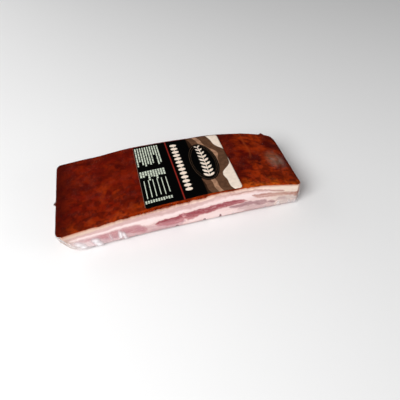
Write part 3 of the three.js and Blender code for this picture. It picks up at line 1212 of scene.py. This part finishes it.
def finished(graph: Graph, given: dict[str, Socket], *shapes: Socket) -> Feeds:
    """Joins what a tree has made, realizes it and gives it its material.

    Args:
        graph: Graph of the tree.
        given: The tree's inputs.
        *shapes: The geometry.

    Returns:
        What feeds the tree's output.
    """
    join = graph.node("GeometryNodeJoinGeometry", {})
    for shape in shapes:
        graph.feed(join, {0: shape})
    real = graph.first("GeometryNodeRealizeInstances", {0: join.outputs[0]})
    feeds = {"Geometry": real, "Material": given["Material"]}
    return {"Geometry": graph.first("GeometryNodeSetMaterial", feeds)}


def fill_bars(graph: Graph, given: dict[str, Socket]) -> Feeds:
    """Nodes of the bars tree: lines of short bars with ragged ends that stand for small print.

    Args:
        graph: Graph of the tree.
        given: The tree's inputs.

    Returns:
        What feeds its output.
    """
    index = index_of(graph)
    points = graph.first("GeometryNodePoints", {"Count": graph.times(given["Lines"], given["Words"])})
    line = graph.math("FLOOR", graph.over(graph.plus(index, 0.5), given["Words"]))
    word = random_number(graph, given["Shortest Word"], given["Longest Word"], index, given["Seed"])
    feeds = {"Value": graph.plus(word, given["Gap"]), "Group ID": line}
    run = graph.node("GeometryNodeAccumulateField", feeds).outputs["Trailing"]
    line_seed = graph.plus(given["Seed"], 7.0)
    limit = random_number(graph, given["Shortest Line"], given["Longest Line"], line, line_seed)
    fits = graph.math("LESS_THAN", graph.plus(run, word), limit)
    middle = graph.plus(run, graph.times(word, 0.5))
    place = graph.vector(graph.plus(given["Left"], graph.times(line, given["Pitch"])),
                         graph.less(given["Top"], middle), graph.times(given["Height"], 0.5))
    bar = graph.first("GeometryNodeMeshCube", {"Vertices Y": 8})
    scale = graph.vector(given["Width"], word, given["Height"])
    bars = scatter(graph, moved(graph, points, place), bar, Selection=fits, Scale=scale)
    return finished(graph, given, bars)


def fill_chain(graph: Graph, given: dict[str, Socket]) -> Feeds:
    """Nodes of the chain tree: a row of ovals with a small dot between each two.

    Args:
        graph: Graph of the tree.
        given: The tree's inputs.

    Returns:
        What feeds its output.
    """
    index = index_of(graph)
    width, pitch, height = (given[key] for key in ("Width", "Pitch", "Height"))
    points = graph.first("GeometryNodePoints", {"Count": given["Count"]})
    y = graph.less(given["Top"], graph.times(index, pitch))
    placed = moved(graph, points, graph.vector(given["Left"], y, graph.times(height, 0.5)))
    odd = graph.math("MODULO", index, 2.0)
    wide = graph.vector(graph.times(width, 0.5), graph.times(pitch, given["Oval Share"]), height)
    ovals = scatter(graph, placed, disc(graph, 22), Selection=graph.less(1.0, odd), Scale=wide)
    radius = graph.times(pitch, given["Dot Share"])
    small = graph.vector(radius, radius, height)
    dots = scatter(graph, placed, disc(graph, 10), Selection=odd, Scale=small)
    return finished(graph, given, ovals, dots)


def pointed_leaf(graph: Graph) -> Socket:
    """Flat leaf from 0 to 2 along X, pointed at both ends and 2 wide.

    Args:
        graph: Graph of the tree.

    Returns:
        The leaf.
    """
    x, y, z = graph.parts(graph.first("GeometryNodeInputPosition", {}))
    slim = graph.times(y, graph.math("ABSOLUTE", y))
    return moved(graph, disc(graph, 18), graph.vector(graph.plus(x, 1.0), slim, z))


def fill_sprig(graph: Graph, given: dict[str, Socket]) -> Feeds:
    """Nodes of the sprig tree: a bent stem with pairs of pointed leaves, smaller towards its tip.

    Args:
        graph: Graph of the tree.
        given: The tree's inputs.

    Returns:
        What feeds its output.
    """
    half = graph.times(given["Length"], 0.5)
    mid_z = graph.times(given["Height"], 0.5)
    feeds = {"Resolution": 32, "Start": graph.vector(0.0, graph.times(half, -1.0), mid_z),
             "Middle": graph.vector(given["Bend"], 0.0, mid_z), "End": graph.vector(0.0, half, mid_z)}
    stem = graph.first("GeometryNodeCurveQuadraticBezier", feeds)
    shapes = [ribbon(graph, stem, given["Stem Width"], given["Height"])]
    row = spaced(graph, stem, given["Pairs"]).outputs
    tangent_x, tangent_y, _ = graph.parts(row["Tangent"])
    heading = graph.math("ARCTAN2", tangent_y, tangent_x)
    share = graph.over(index_of(graph), given["Pairs"])
    size = graph.less(1.0, graph.times(share, share, given["Shrink"]))
    scale = graph.vector(graph.times(given["Leaf Length"], size, 0.5),
                         graph.times(given["Leaf Width"], size, 0.5), given["Height"])
    leaf = pointed_leaf(graph)
    for side in (-1.0, 1.0):
        turned = graph.vector(0.0, 0.0, graph.plus(heading, graph.times(given["Spread"], side)))
        shapes.append(scatter(graph, row["Points"], leaf, Rotation=turned, Scale=scale))
    return finished(graph, given, *shapes)


def fill_ring(graph: Graph, given: dict[str, Socket]) -> Feeds:
    """Nodes of the ring tree: a thin oval line with a row of dots inside it.

    Args:
        graph: Graph of the tree.
        given: The tree's inputs.

    Returns:
        What feeds its output.
    """
    lift = graph.vector(0.0, 0.0, graph.times(given["Height"], 0.5))
    scale = graph.vector(given["Half Width"], given["Half Length"], 1.0)
    ovals = []
    for radius in (1.0, given["Dot Ring"]):
        circle = graph.first("GeometryNodeCurvePrimitiveCircle", {"Resolution": 120, "Radius": radius})
        feeds = {"Geometry": circle, "Translation": lift, "Scale": scale}
        ovals.append(graph.first("GeometryNodeTransform", feeds))
    line = ribbon(graph, ovals[0], given["Line Width"], given["Height"])
    row = spaced(graph, ovals[1], given["Dots"]).outputs["Points"]
    dot = graph.vector(given["Line Width"], given["Line Width"], given["Height"])
    return finished(graph, given, line, scatter(graph, row, disc(graph, 8), Scale=dot))


def fill_weld(graph: Graph, given: dict[str, Socket]) -> Feeds:
    """Nodes of the weld tree: a flat welded fin along a path, with crimped ribs across it.

    Args:
        graph: Graph of the tree.
        given: The tree's inputs.

    Returns:
        What feeds its output.
    """
    path = graph.first("GeometryNodeMeshToCurve", {"Mesh": given["Geometry"]})
    fin = ribbon(graph, path, given["Reach"], given["Thickness"])
    row = spaced(graph, path, given["Ribs"]).outputs["Points"]
    rib = graph.vector(graph.times(given["Reach"], given["Rib Share"]), given["Rib Width"],
                       graph.times(given["Thickness"], 2.0))
    return finished(graph, given, fin, scatter(graph, row, disc(graph, 10), Scale=rib))


def named(sizes: object) -> dict[str, Union[int, float]]:
    """Numbers of a dataclass by the names of a tree's inputs, such as Line Width for line_width."""
    return {part.name.replace("_", " ").title(): getattr(sizes, part.name) for part in fields(sizes)}


def geometry_tree(name: str, sizes: object, fill: Fill) -> Tree:
    """Makes a geometry tree with an input for each size and one for the material.

    Args:
        name: Name of the tree.
        sizes: Dataclass whose numbers the inputs are named and typed by.
        fill: Adds its nodes.

    Returns:
        The tree.
    """
    kinds = {key: INTEGER if isinstance(value, int) else FLOAT for key, value in named(sizes).items()}
    shape = {"Geometry": "NodeSocketGeometry"}
    inputs = {**shape, **kinds, "Material": "NodeSocketMaterial"}
    return make_group(name, "GeometryNodeTree", inputs, shape, fill)


def grow(name: str, tree: Tree, sizes: object, material: Material, place: Place,
         path: Optional[Array] = None) -> Piece:
    """Runs a geometry tree and keeps what it makes as a plain mesh that rides on the body.

    Args:
        name: Name of the piece.
        tree: The geometry tree, which works in millimetres.
        sizes: Dataclass of its sizes.
        material: Finish of the piece.
        place: Carries the made points to the part, in millimetres.
        path: Points of the line that the tree follows, where it follows one.

    Returns:
        The piece.
    """
    seed = bpy.data.meshes.new(name)
    if path is not None:
        seed.from_pydata(path.tolist(), [(i, i + 1) for i in range(len(path) - 1)], [])
    piece = new_object(name, seed)
    modifier = piece.modifiers.new(name, "NODES")
    modifier.node_group = tree
    values = {**named(sizes), "Material": material}
    for item in tree.interface.items_tree:
        if item.name in values:
            modifier[item.identifier] = values[item.name]
    mesh = bpy.data.meshes.new_from_object(piece.evaluated_get(bpy.context.evaluated_depsgraph_get()))
    piece.modifiers.clear()
    piece.data = mesh
    points = np.empty(len(mesh.vertices) * 3, np.float32)
    mesh.vertices.foreach_get("co", points)
    plain = points.reshape(-1, 3).astype(float)
    store(mesh, "plain", plain)
    mesh.vertices.foreach_set("co", (place(plain) * MM).ravel().astype(np.float32))
    mesh.update()
    return hold(piece)


# Pieces


@dataclass
class MeatSlab:
    """The slab of cured meat inside the film."""

    form: SlabForm
    pitch: float = 1.25
    inset: float = 0.35
    lean_sinks: float = 0.25
    fibre_sinks: float = 0.22
    cut_reach: float = 4.0
    fold_at: float = 98.0
    fold_half: float = 1.3
    fold_stands: float = 0.35
    ear_height: float = 0.12
    ear_spread: float = 1.6

    def build(self, material: Material) -> Piece:
        """Makes the slab.

        Args:
            material: Finish of the meat.

        Returns:
            The piece.
        """
        form = self.form
        net = slab_net(form, self.pitch)
        x, y, z = net.plain.T
        relief = self.rind_relief(net.plain)
        fold = self.rind_fold(net.plain)
        net.raise_by(relief + self.fold_stands * fold - self.inset - self.cut_relief(net.plain))
        ear = hump(y, form.ear_at, self.ear_spread * form.ear_half_width) * (x <= -form.half_length)
        ear = ear * hump(z / form.box_height, form.seam_height, self.ear_height)
        values = {"relief": relief, "fold": fold, "ear": ear}
        return make_piece("cured_slab", net, material, values)

    def rind_relief(self, plain: Array) -> Array:
        """Wrinkles and pocks of the rind, from about -0.4 to 0.3 mm.

        Args:
            plain: Plain places.

        Returns:
            Height of the relief.
        """
        broad = Lumps(3).at(plain, 11.0, 9.0, 9.0)
        wrinkle = 1 - 2 * np.abs(Lumps(5).at(plain, 7.0, 5.5, 6.0))
        fine = Lumps(8).at(plain, 3.2, 3.0, 3.0)
        on_rind = rise(0.8, 0.98, plain[:, 2] / self.form.box_height)
        return (0.14 * broad - 0.16 * rise(0.5, 1.0, wrinkle) + 0.07 * fine) * on_rind

    def rind_fold(self, plain: Array) -> Array:
        """Fold of the rind across the right of the slab.

        Args:
            plain: Plain places.

        Returns:
            Numbers from 0 to 1.
        """
        x, y, z = plain.T
        line = self.fold_at + 2.6 * np.sin(y / 19 + 0.4) + 1.0 * np.sin(y / 6.5)
        ends = rise(-8, 6, y) * rise(55, 44, y) * rise(0.9, 1.0, z / self.form.box_height)
        return hump(x, line, self.fold_half) * ends

    def cut_relief(self, plain: Array) -> Array:
        """How far the cut faces sink: the lean more than the fat, with its fibres.

        Args:
            plain: Plain places.

        Returns:
            Depths in millimetres.
        """
        x, y, z = plain.T
        up = z / self.form.box_height
        lean = np.max([part.mask(x, up) for part in BANDS.values() if part.lean], axis=0)
        fibres = 0.5 + 0.5 * Lumps(13).at(plain, 9.0, 6.0, 1.9)
        half = self.form.half_width
        on_cut = rise(half - self.cut_reach, half, np.abs(y)) * rise(0.97, 0.9, up)
        return (self.lean_sinks * lean * (y < 0) + self.fibre_sinks * fibres) * on_cut


@dataclass(frozen=True)
class Pleat:
    """A crease of the film on an upright face: its place below, its lean, its size and its milky
    whiteness, which also paints a highlight on the crease.
    """

    at: float
    lean: float
    half_width: float
    low: float
    high: float
    stands: float
    haze: float


# The last number of each pleat is its milky whiteness; on the front-left creases it is high and paints
# their bright glints, a painted highlight.
FRONT_PLEATS = (
    Pleat(-120.0, -0.44, 4.8, 0.16, 0.66, 1.1, 1.0),
    Pleat(-103.0, -0.31, 4.6, 0.08, 0.60, 1.0, 1.0),
    Pleat(-88.5, -0.10, 1.8, 0.22, 0.58, 0.5, 0.5),
    Pleat(-79.0, 0.0, 2.0, 0.18, 0.62, 0.8, 1.0),
    Pleat(-72.5, -0.18, 2.1, 0.08, 0.52, 0.8, 1.0),
    Pleat(-60.0, -0.15, 1.2, 0.02, 0.28, 0.4, 0.30),
    Pleat(-24.0, -0.12, 1.0, 0.02, 0.24, 0.3, 0.20),
    Pleat(60.0, 0.10, 1.0, 0.02, 0.24, 0.3, 0.25),
    Pleat(104.0, -0.12, 1.2, 0.02, 0.36, 0.4, 0.30),
    Pleat(119.0, 0.05, 1.8, 0.14, 0.44, 0.4, 0.65),
    Pleat(133.0, -0.04, 2.2, 0.04, 0.40, 0.4, 0.50),
)


@dataclass
class ShrunkFilm:
    """The clear film drawn tight on the slab, with its creases.

    Each method that reads plain places and returns a pair gives the relief and the whiteness of every
    point, a whiteness that partly paints highlights, reflections and sheen.
    """

    form: SlabForm
    pitch: float = 1.15
    seed: int = 11
    back_pleats: int = 12
    ripple: float = 0.035
    rind_from: float = 40.0
    face_slack: float = 0.01
    loose: Oval = Oval((131.0, -6.0), (13.0, 17.0))

    def pleats_on_back(self) -> list[Pleat]:
        """Creases of the back face, spread by a seeded draw.

        Returns:
            The creases.
        """
        draw = np.random.default_rng(self.seed)
        places = np.linspace(-132, 122, self.back_pleats) + draw.uniform(-7, 7, self.back_pleats)
        return [Pleat(at, draw.uniform(-0.3, 0.3), draw.uniform(1.0, 2.2), 0.02, draw.uniform(0.2, 0.5),
                      draw.uniform(0.3, 0.7), draw.uniform(0.2, 0.6)) for at in places]

    def crease(self, plain: Array, pleat: Pleat, side: int) -> Array:
        """Strength of one pleat.

        Args:
            plain: Plain places.
            pleat: The pleat.
            side: -1 for the front face, 1 for the back.

        Returns:
            Numbers from 0 to 1.
        """
        x, y, z = plain.T
        up = z / self.form.box_height
        line = hump(x - pleat.at - pleat.lean * z, 0.0, pleat.half_width)
        ends = rise(pleat.low - 0.06, pleat.low + 0.06, up) * rise(pleat.high, pleat.high - 0.22, up)
        return line * ends * (side * y >= self.form.half_width - self.face_slack)

    def build(self, material: Material) -> None:
        """Makes the film.

        Args:
            material: Finish of the film.
        """
        net = slab_net(self.form, self.pitch)
        stands = self.ripple * (Lumps(21).at(net.plain, 11.0, 9.0, 9.0) - 1)
        haze = np.zeros(len(net.points))
        for side, pleats in ((-1, FRONT_PLEATS), (1, self.pleats_on_back())):
            for pleat in pleats:
                strength = self.crease(net.plain, pleat, side)
                stands += pleat.stands * strength
                haze = np.maximum(haze, pleat.haze * strength)
        haze *= 0.75 + 0.25 * rise(-0.5, 0.4, Lumps(19).at(net.plain, 2.6, 2.6, 4.2))
        for slack in (self.corner_crumple, self.loose_patch, self.low_slack, self.rind_bloom):
            crumple, veil = slack(net.plain)
            stands += crumple
            haze = np.maximum(haze, veil)
        net.raise_by(stands)
        film = make_piece("clear_film", net, material, {"haze": haze})
        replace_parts(film, "vacuum_pack")

    def corner_crumple(self, plain: Array) -> tuple[Array, Array]:
        """Gathers of the film at the slab's upright corners.

        Args:
            plain: Plain places.

        Returns:
            How far the film stands out and how hazy it is.
        """
        x, y, z = plain.T
        up = z / self.form.box_height
        from_corner = np.hypot(self.form.half_length - np.abs(x), self.form.half_width - np.abs(y))
        near = rise(26, 2, from_corner) * rise(0.98, 0.62, up) * rise(-0.02, 0.05, up)
        front_left = (x < 0) & (y < 0)
        ripple = 1 - np.abs(Lumps(23).at(plain + 0.5 * plain[:, [1, 2, 0]], 5.5, 5.5, 9.0))
        veil = np.where(front_left, 0.55, 0.2) * near * (0.35 + 0.65 * rise(0.55, 1.0, ripple))
        return near * rise(0.4, 1.0, ripple) * np.where(front_left, 0.8, 0.4), veil

    def loose_patch(self, plain: Array) -> tuple[Array, Array]:
        """Whitish patch on the right of the rind: small crumples of the film, whose whiteness paints a
        soft reflection there.

        Args:
            plain: Plain places.

        Returns:
            How far the film stands out and how much painted reflection it shows.
        """
        a, b = ((plain[:, i] - self.loose.middle[i]) / self.loose.half[i] for i in range(2))
        near = rise(1.5, 0.0, np.hypot(a, b)) * (plain[:, 2] > self.rind_from)
        cloud = 0.8 * Lumps(29).at(plain, 7.0, 9.0, 9.0) + 0.8 * Lumps(31).at(plain, 3.4, 5.0, 4.0)
        # The crumples are real relief; their whiteness is a painted reflection.
        return 0.12 * near * cloud, near * (0.02 + 0.13 * rise(-0.3, 0.9, cloud))

    def rind_bloom(self, plain: Array) -> tuple[Array, Array]:
        """Faint greyish painted sheen of the film over the rind, in soft clouds.

        Args:
            plain: Plain places.

        Returns:
            How far the film stands out and how much painted sheen it shows.
        """
        x, _, z = plain.T
        cloud = 0.7 * Lumps(41).at(plain, 12.0, 11.0, 9.0) + 0.8 * Lumps(43).at(plain, 5.5, 5.0, 6.0)
        on_rind = rise(self.rind_from - 1, self.rind_from + 1, z) * rise(-144, -126, x)
        return np.zeros(len(plain)), 0.005 * rise(-0.3, 0.9, cloud) * on_rind

    def low_slack(self, plain: Array) -> tuple[Array, Array]:
        """Slack of the film low on the cut face, towards both ends: a slight bulge on the right, and on
        both a whiteness that paints the film's sheen.

        Args:
            plain: Plain places.

        Returns:
            How far the film stands out and how much painted sheen it shows.
        """
        x, y, z = plain.T
        up = z / self.form.box_height
        on_cut = y <= self.face_slack - self.form.half_width
        right = rise(92, 132, x) * rise(0.42, 0.12, up) * on_cut
        left = rise(-70, -106, x) * rise(0.46, 0.08, up) * on_cut
        cloud = rise(-0.5, 0.8, Lumps(37).at(plain, 7.0, 5.0, 5.0))
        return 0.3 * right * cloud, right * (0.18 + 0.32 * cloud) + left * (0.22 + 0.34 * cloud)


@dataclass(frozen=True)
class CrimpedFin:
    """Sizes of a welded seam: how far its fin reaches, its thickness and its ribs."""

    reach: float = 1.8
    thickness: float = 0.4
    rib_share: float = 0.42
    rib_width: float = 0.45
    ribs: int = 40


@dataclass
class EndWelds:
    """The welded seams of the film across both ends: flat fins with crimped ribs."""

    form: SlabForm
    fin: CrimpedFin = CrimpedFin()
    half_span: float = 42.0
    sunk: float = 0.25
    step: float = 2.0

    def build(self, material: Material) -> None:
        """Makes the welds.

        Args:
            material: Finish of the welded film.
        """
        tree = geometry_tree("end_weld", self.fin, fill_weld)
        ys = even_lines(-self.half_span, self.half_span, self.step)
        for end in End:
            box = np.stack([np.full(len(ys), end.value * self.form.half_length), ys,
                            np.full(len(ys), self.form.seam_height * self.form.box_height)], 1)
            path = self.form.skin(box) - np.array([end.value * self.sunk * self.fin.reach, 0, 0])
            grow(f"{end.name.lower()}_weld", tree, self.fin, material, np.copy, path)


INK_HEIGHT = 0.12


@dataclass(frozen=True)
class PrintBlock:
    """A block of bars that stand for small print: its place, lines and lengths of lines and bars."""

    seed: int
    left: float
    top: float
    lines: int
    pitch: float
    width: float
    shortest_line: float
    longest_line: float
    longest_word: float
    shortest_word: float = 1.6
    words: int = 14
    gap: float = 0.7
    height: float = INK_HEIGHT


@dataclass(frozen=True)
class OvalChain:
    """A row of ovals with dots between them, whose lengths are shares of the pitch."""

    count: int = 25
    left: float = 8.0
    top: float = 41.0
    pitch: float = 3.4
    width: float = 9.0
    oval_share: float = 0.7
    dot_share: float = 0.2
    height: float = INK_HEIGHT


@dataclass(frozen=True)
class LeafSprig:
    """A stem with pairs of leaves."""

    pairs: int = 9
    length: float = 56.0
    bend: float = 3.0
    stem_width: float = 1.2
    leaf_length: float = 9.0
    leaf_width: float = 3.6
    shrink: float = 0.55
    spread: float = 0.85
    height: float = INK_HEIGHT


@dataclass(frozen=True)
class OvalRing:
    """An oval line with dots inside it."""

    half_width: float
    half_length: float
    line_width: float = 0.6
    dots: int = 58
    dot_ring: float = 0.88
    height: float = INK_HEIGHT


PRINT_BLOCKS = {
    "back": PrintBlock(4, -43.0, 47.5, 10, 3.3, 1.7, 22.0, 42.0, 8.0),
    "head": PrintBlock(9, -42.5, 3.5, 10, 3.2, 2.2, 7.0, 18.0, 4.0),
    "rules": PrintBlock(5, -40.5, -12.5, 6, 5.3, 0.95, 31.0, 31.5, 15.0, shortest_word=12.0, words=2,
                        gap=0.4),
    "marks": PrintBlock(12, -43.0, -44.6, 11, 2.9, 1.9, 4.5, 6.0, 2.4, shortest_word=1.3, words=3,
                        gap=0.5),
}


@dataclass
class Label:
    """The label on the rind: its sheet and the raised print on it, in the form's own plain places."""

    form: SlabForm
    paper: LabelPaper = LabelPaper()
    length: float = 115.0
    width: float = 105.5
    at: Pair = (12.0, -2.0)
    lean: float = 0.042
    lean_reach: float = 45.0
    corner: float = 3.0
    under: float = 0.06
    top: float = 0.5
    pitch: float = 1.3
    ink_sinks: float = 0.03
    ring_inset: float = 1.8

    def build(self, mottle: Tree) -> None:
        """Makes the sheet, the small print, the chain by the stripe, and the plaque's ring and sprig.

        Args:
            mottle: The mottle group.
        """
        self.sheet(self.paper.build(mottle))
        inks = (Ink("pale_ink", Tone.PALE), Ink("cream_ink", Tone.CREAM, 0.15),
                Ink("tan_ink", Tone.DIM_TAN, 0.3))
        pale, cream, tan = (ink.build(mottle) for ink in inks)
        bars = geometry_tree("small_print", PRINT_BLOCKS["back"], fill_bars)
        for name, block in PRINT_BLOCKS.items():
            grow(f"label_print_{name}", bars, block, pale, self.on_label())
        plaque = self.paper.plaque
        ring = OvalRing(*(half - self.ring_inset for half in plaque.half))
        ornaments = (("chain", OvalChain(), fill_chain, cream, (0.0, 0.0)),
                     ("sprig", LeafSprig(), fill_sprig, cream, plaque.middle),
                     ("ring", ring, fill_ring, tan, plaque.middle))
        for name, sizes, fill, ink, middle in ornaments:
            tree = geometry_tree(name, sizes, fill)
            grow(f"label_{name}", tree, sizes, ink, self.on_label(middle))

    def sheet(self, material: Material) -> None:
        """Makes the label's own sheet.

        Args:
            material: Finish of the sheet.
        """
        half = (self.length / 2, self.width / 2)
        net = box_net(half, np.array([self.under, self.top]), self.pitch)
        x, y, height = net.plain.T
        for corner in ((-1, -1), (-1, 1), (1, -1), (1, 1)):
            x, y = round_corner(x, y, half, self.corner, corner)
        net.plain = np.stack([x + self.at[0], y + self.at[1], height], 1)
        net.points = self.laid(*net.plain.T)
        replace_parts(make_piece("label_sheet", net, material, {}), "label")

    def laid(self, x: Array, y: Array, height: Array) -> Array:
        """Points over the rind for places of the label, which leans to the left towards the back.

        Args:
            x: Places along.
            y: Places across.
            height: Distances from the skin.

        Returns:
            The points, one per row.
        """
        share = np.clip((x - self.at[0] + self.length / 2) / self.lean_reach, 0, 1)
        return self.form.above_rind(x - self.lean * share * y, y, height)

    def on_label(self, middle: Pair = (0.0, 0.0)) -> Place:
        """Way to bend flat print on to the label.

        Args:
            middle: Plain place of the print's own origin.

        Returns:
            Function that carries flat points to the part.
        """
        def bend(points: Array) -> Array:
            """Lays the points on the label."""
            x, y, z = points.T
            return self.laid(x + middle[0], y + middle[1], z + self.top - self.ink_sinks)

        return bend


# Studio


def hang(name: str, data: bpy.types.ID, azimuth: float, elevation: float, distance: float,
         target: Vector) -> Piece:
    """Puts a light or a camera where it looks at a target.

    Args:
        name: Name of the object.
        data: The light or the camera.
        azimuth: Degrees round from the side of the cut face.
        elevation: Degrees up from the floor.
        distance: Metres from the target.
        target: What it looks at.

    Returns:
        The object.
    """
    turn, lift = math.radians(azimuth), math.radians(elevation)
    way = Vector((math.sin(turn) * math.cos(lift), -math.cos(turn) * math.cos(lift), math.sin(lift)))
    new = new_object(name, data)
    new.location = target + way * distance
    new.rotation_euler = way.to_track_quat("Z", "Y").to_euler()
    return new


@dataclass(frozen=True)
class Lamp:
    """A square soft light: where it hangs as seen from the slab, and its power in watts."""

    name: str
    azimuth: float
    elevation: float
    watts: float
    mirrored: bool = True
    distance: float = 1.3
    side: float = 0.7

    def build(self) -> None:
        """Hangs the light so that it looks at the slab."""
        data = bpy.data.lights.new(self.name, "AREA")
        data.size = self.side
        data.energy = self.watts
        lamp = hang(self.name, data, self.azimuth, self.elevation, self.distance, Vector())
        lamp.visible_camera = False
        lamp.visible_glossy = self.mirrored


@dataclass
class Studio:
    """Floor, lights, surrounding and camera."""

    shift: Pair
    lamps: tuple[Lamp, ...] = (Lamp("left", -54, 44, 16.0), Lamp("right", 62, 15, 4.5),
                               Lamp("behind", 228, 24, 4.0, False))
    half_floor: float = 1.2
    floor_level: float = -0.0003
    floor_tone: Colour = (0.86, 0.86, 0.86, 1.0)
    light_on_all: float = 0.03
    light_on_view: float = 0.8
    light_on_matt: float = 0.2
    view_azimuth: float = -14.168
    view_elevation: float = 48.006
    view_distance: float = 522.871
    view_target: Triple = (27.623, -14.384, -0.999)
    focal_pixels: float = 400.05
    frame_pixels: float = 400.0
    sensor: float = 36.0

    def build(self) -> None:
        """Makes all of the studio."""
        self.floor()
        self.surrounding()
        for lamp in self.lamps:
            lamp.build()
        self.camera()
        bpy.context.scene.view_settings.view_transform = "Standard"

    def floor(self) -> None:
        """Makes the plain pale floor."""
        mesh = bpy.data.meshes.new("floor")
        corners = [(x * self.half_floor, y * self.half_floor, self.floor_level)
                   for x, y in ((-1, -1), (1, -1), (1, 1), (-1, 1))]
        mesh.from_pydata(corners, [], [(0, 1, 2, 3)])
        material, graph, surface, _ = new_material("pale_floor")
        graph.feed(surface, {"Base Color": self.floor_tone, "Roughness": 0.9})
        mesh.materials.append(material)
        new_object("floor", mesh)

    def surrounding(self) -> None:
        """Makes a pale backdrop whose light is low, so that the film keeps a dark gloss."""
        world = bpy.data.worlds.new("studio")
        world.use_nodes = True
        world.node_tree.nodes.clear()
        graph = Graph(world.node_tree)
        rays = graph.node("ShaderNodeLightPath", {}).outputs
        strength = graph.plus(self.light_on_all, graph.times(rays["Is Camera Ray"], self.light_on_view),
                              graph.times(rays["Is Diffuse Ray"], self.light_on_matt))
        light = graph.first("ShaderNodeBackground", {"Color": WHITE, "Strength": strength})
        graph.node("ShaderNodeOutputWorld", {"Surface": light})
        world.cycles.sampling_method = "NONE"
        bpy.context.scene.world = world

    def camera(self) -> None:
        """Adds the camera at the photograph's viewing angle."""
        data = bpy.data.cameras.new("camera")
        data.sensor_width = self.sensor
        data.lens = self.focal_pixels / self.frame_pixels * self.sensor
        data.clip_start, data.clip_end = 0.01, 20.0
        target = Vector(np.add(self.view_target, (*self.shift, 0.0)) * MM)
        distance = self.view_distance * MM
        camera = hang("camera", data, self.view_azimuth, self.view_elevation, distance, target)
        bpy.context.scene.camera = camera


def shift_to_solid(form: SlabForm, pitch: float = 2.5) -> Pair:
    """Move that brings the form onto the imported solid.

    Args:
        form: Form of the pack.
        pitch: Size of the faces that it is measured by.

    Returns:
        The move along and across, in millimetres.
    """
    points = slab_net(form, pitch).points
    low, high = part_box("vacuum_pack")
    move = np.array((low + high) / 2) / MM - (points.min(0) + points.max(0)) / 2
    return (move[0], move[1])


def main() -> None:
    """Builds the pieces in order and reports them."""
    logging.basicConfig(level=logging.INFO, format="%(name)s: %(message)s")
    form = SlabForm()
    form = replace(form, shift=shift_to_solid(form))
    LOG.info("form moved by %s", np.round(form.shift, 3))

    mottle = make_group("mottle", "ShaderNodeTree", {"Place": "NodeSocketVector", "Finer": FLOAT},
                        dict.fromkeys(("Broad", "Cloud", "Grain"), FLOAT), fill_mottle)
    band_inputs = ("Up", "Top", "Bottom", "Top Softness", "Bottom Softness")
    band = make_group("band", "ShaderNodeTree", dict.fromkeys(band_inputs, FLOAT), {"Mask": FLOAT},
                      fill_band)

    meat_corners = (Corner(-1, -1, 10, 32), Corner(-1, 1, 6.5, 11), Corner(1, -1, 8, 14),
                    Corner(1, 1, 15, 21))
    meat = replace(form, corners=meat_corners, left_end=EndLean(60, 6.2, 3.6),
                   right_end=EndLean(50, -4.0, 2.7), seam_stands=1.7, ear_stands=6.6)
    MeatSlab(meat).build(CuredMeat(meat).build(mottle, band))
    ShrunkFilm(form).build(ClearFilm().build())
    EndWelds(form).build(ClearFilm("welded_film", haze=0.07).build())
    Label(form).build(mottle)
    Studio(form.shift).build()


if __name__ == "__main__":
    main()
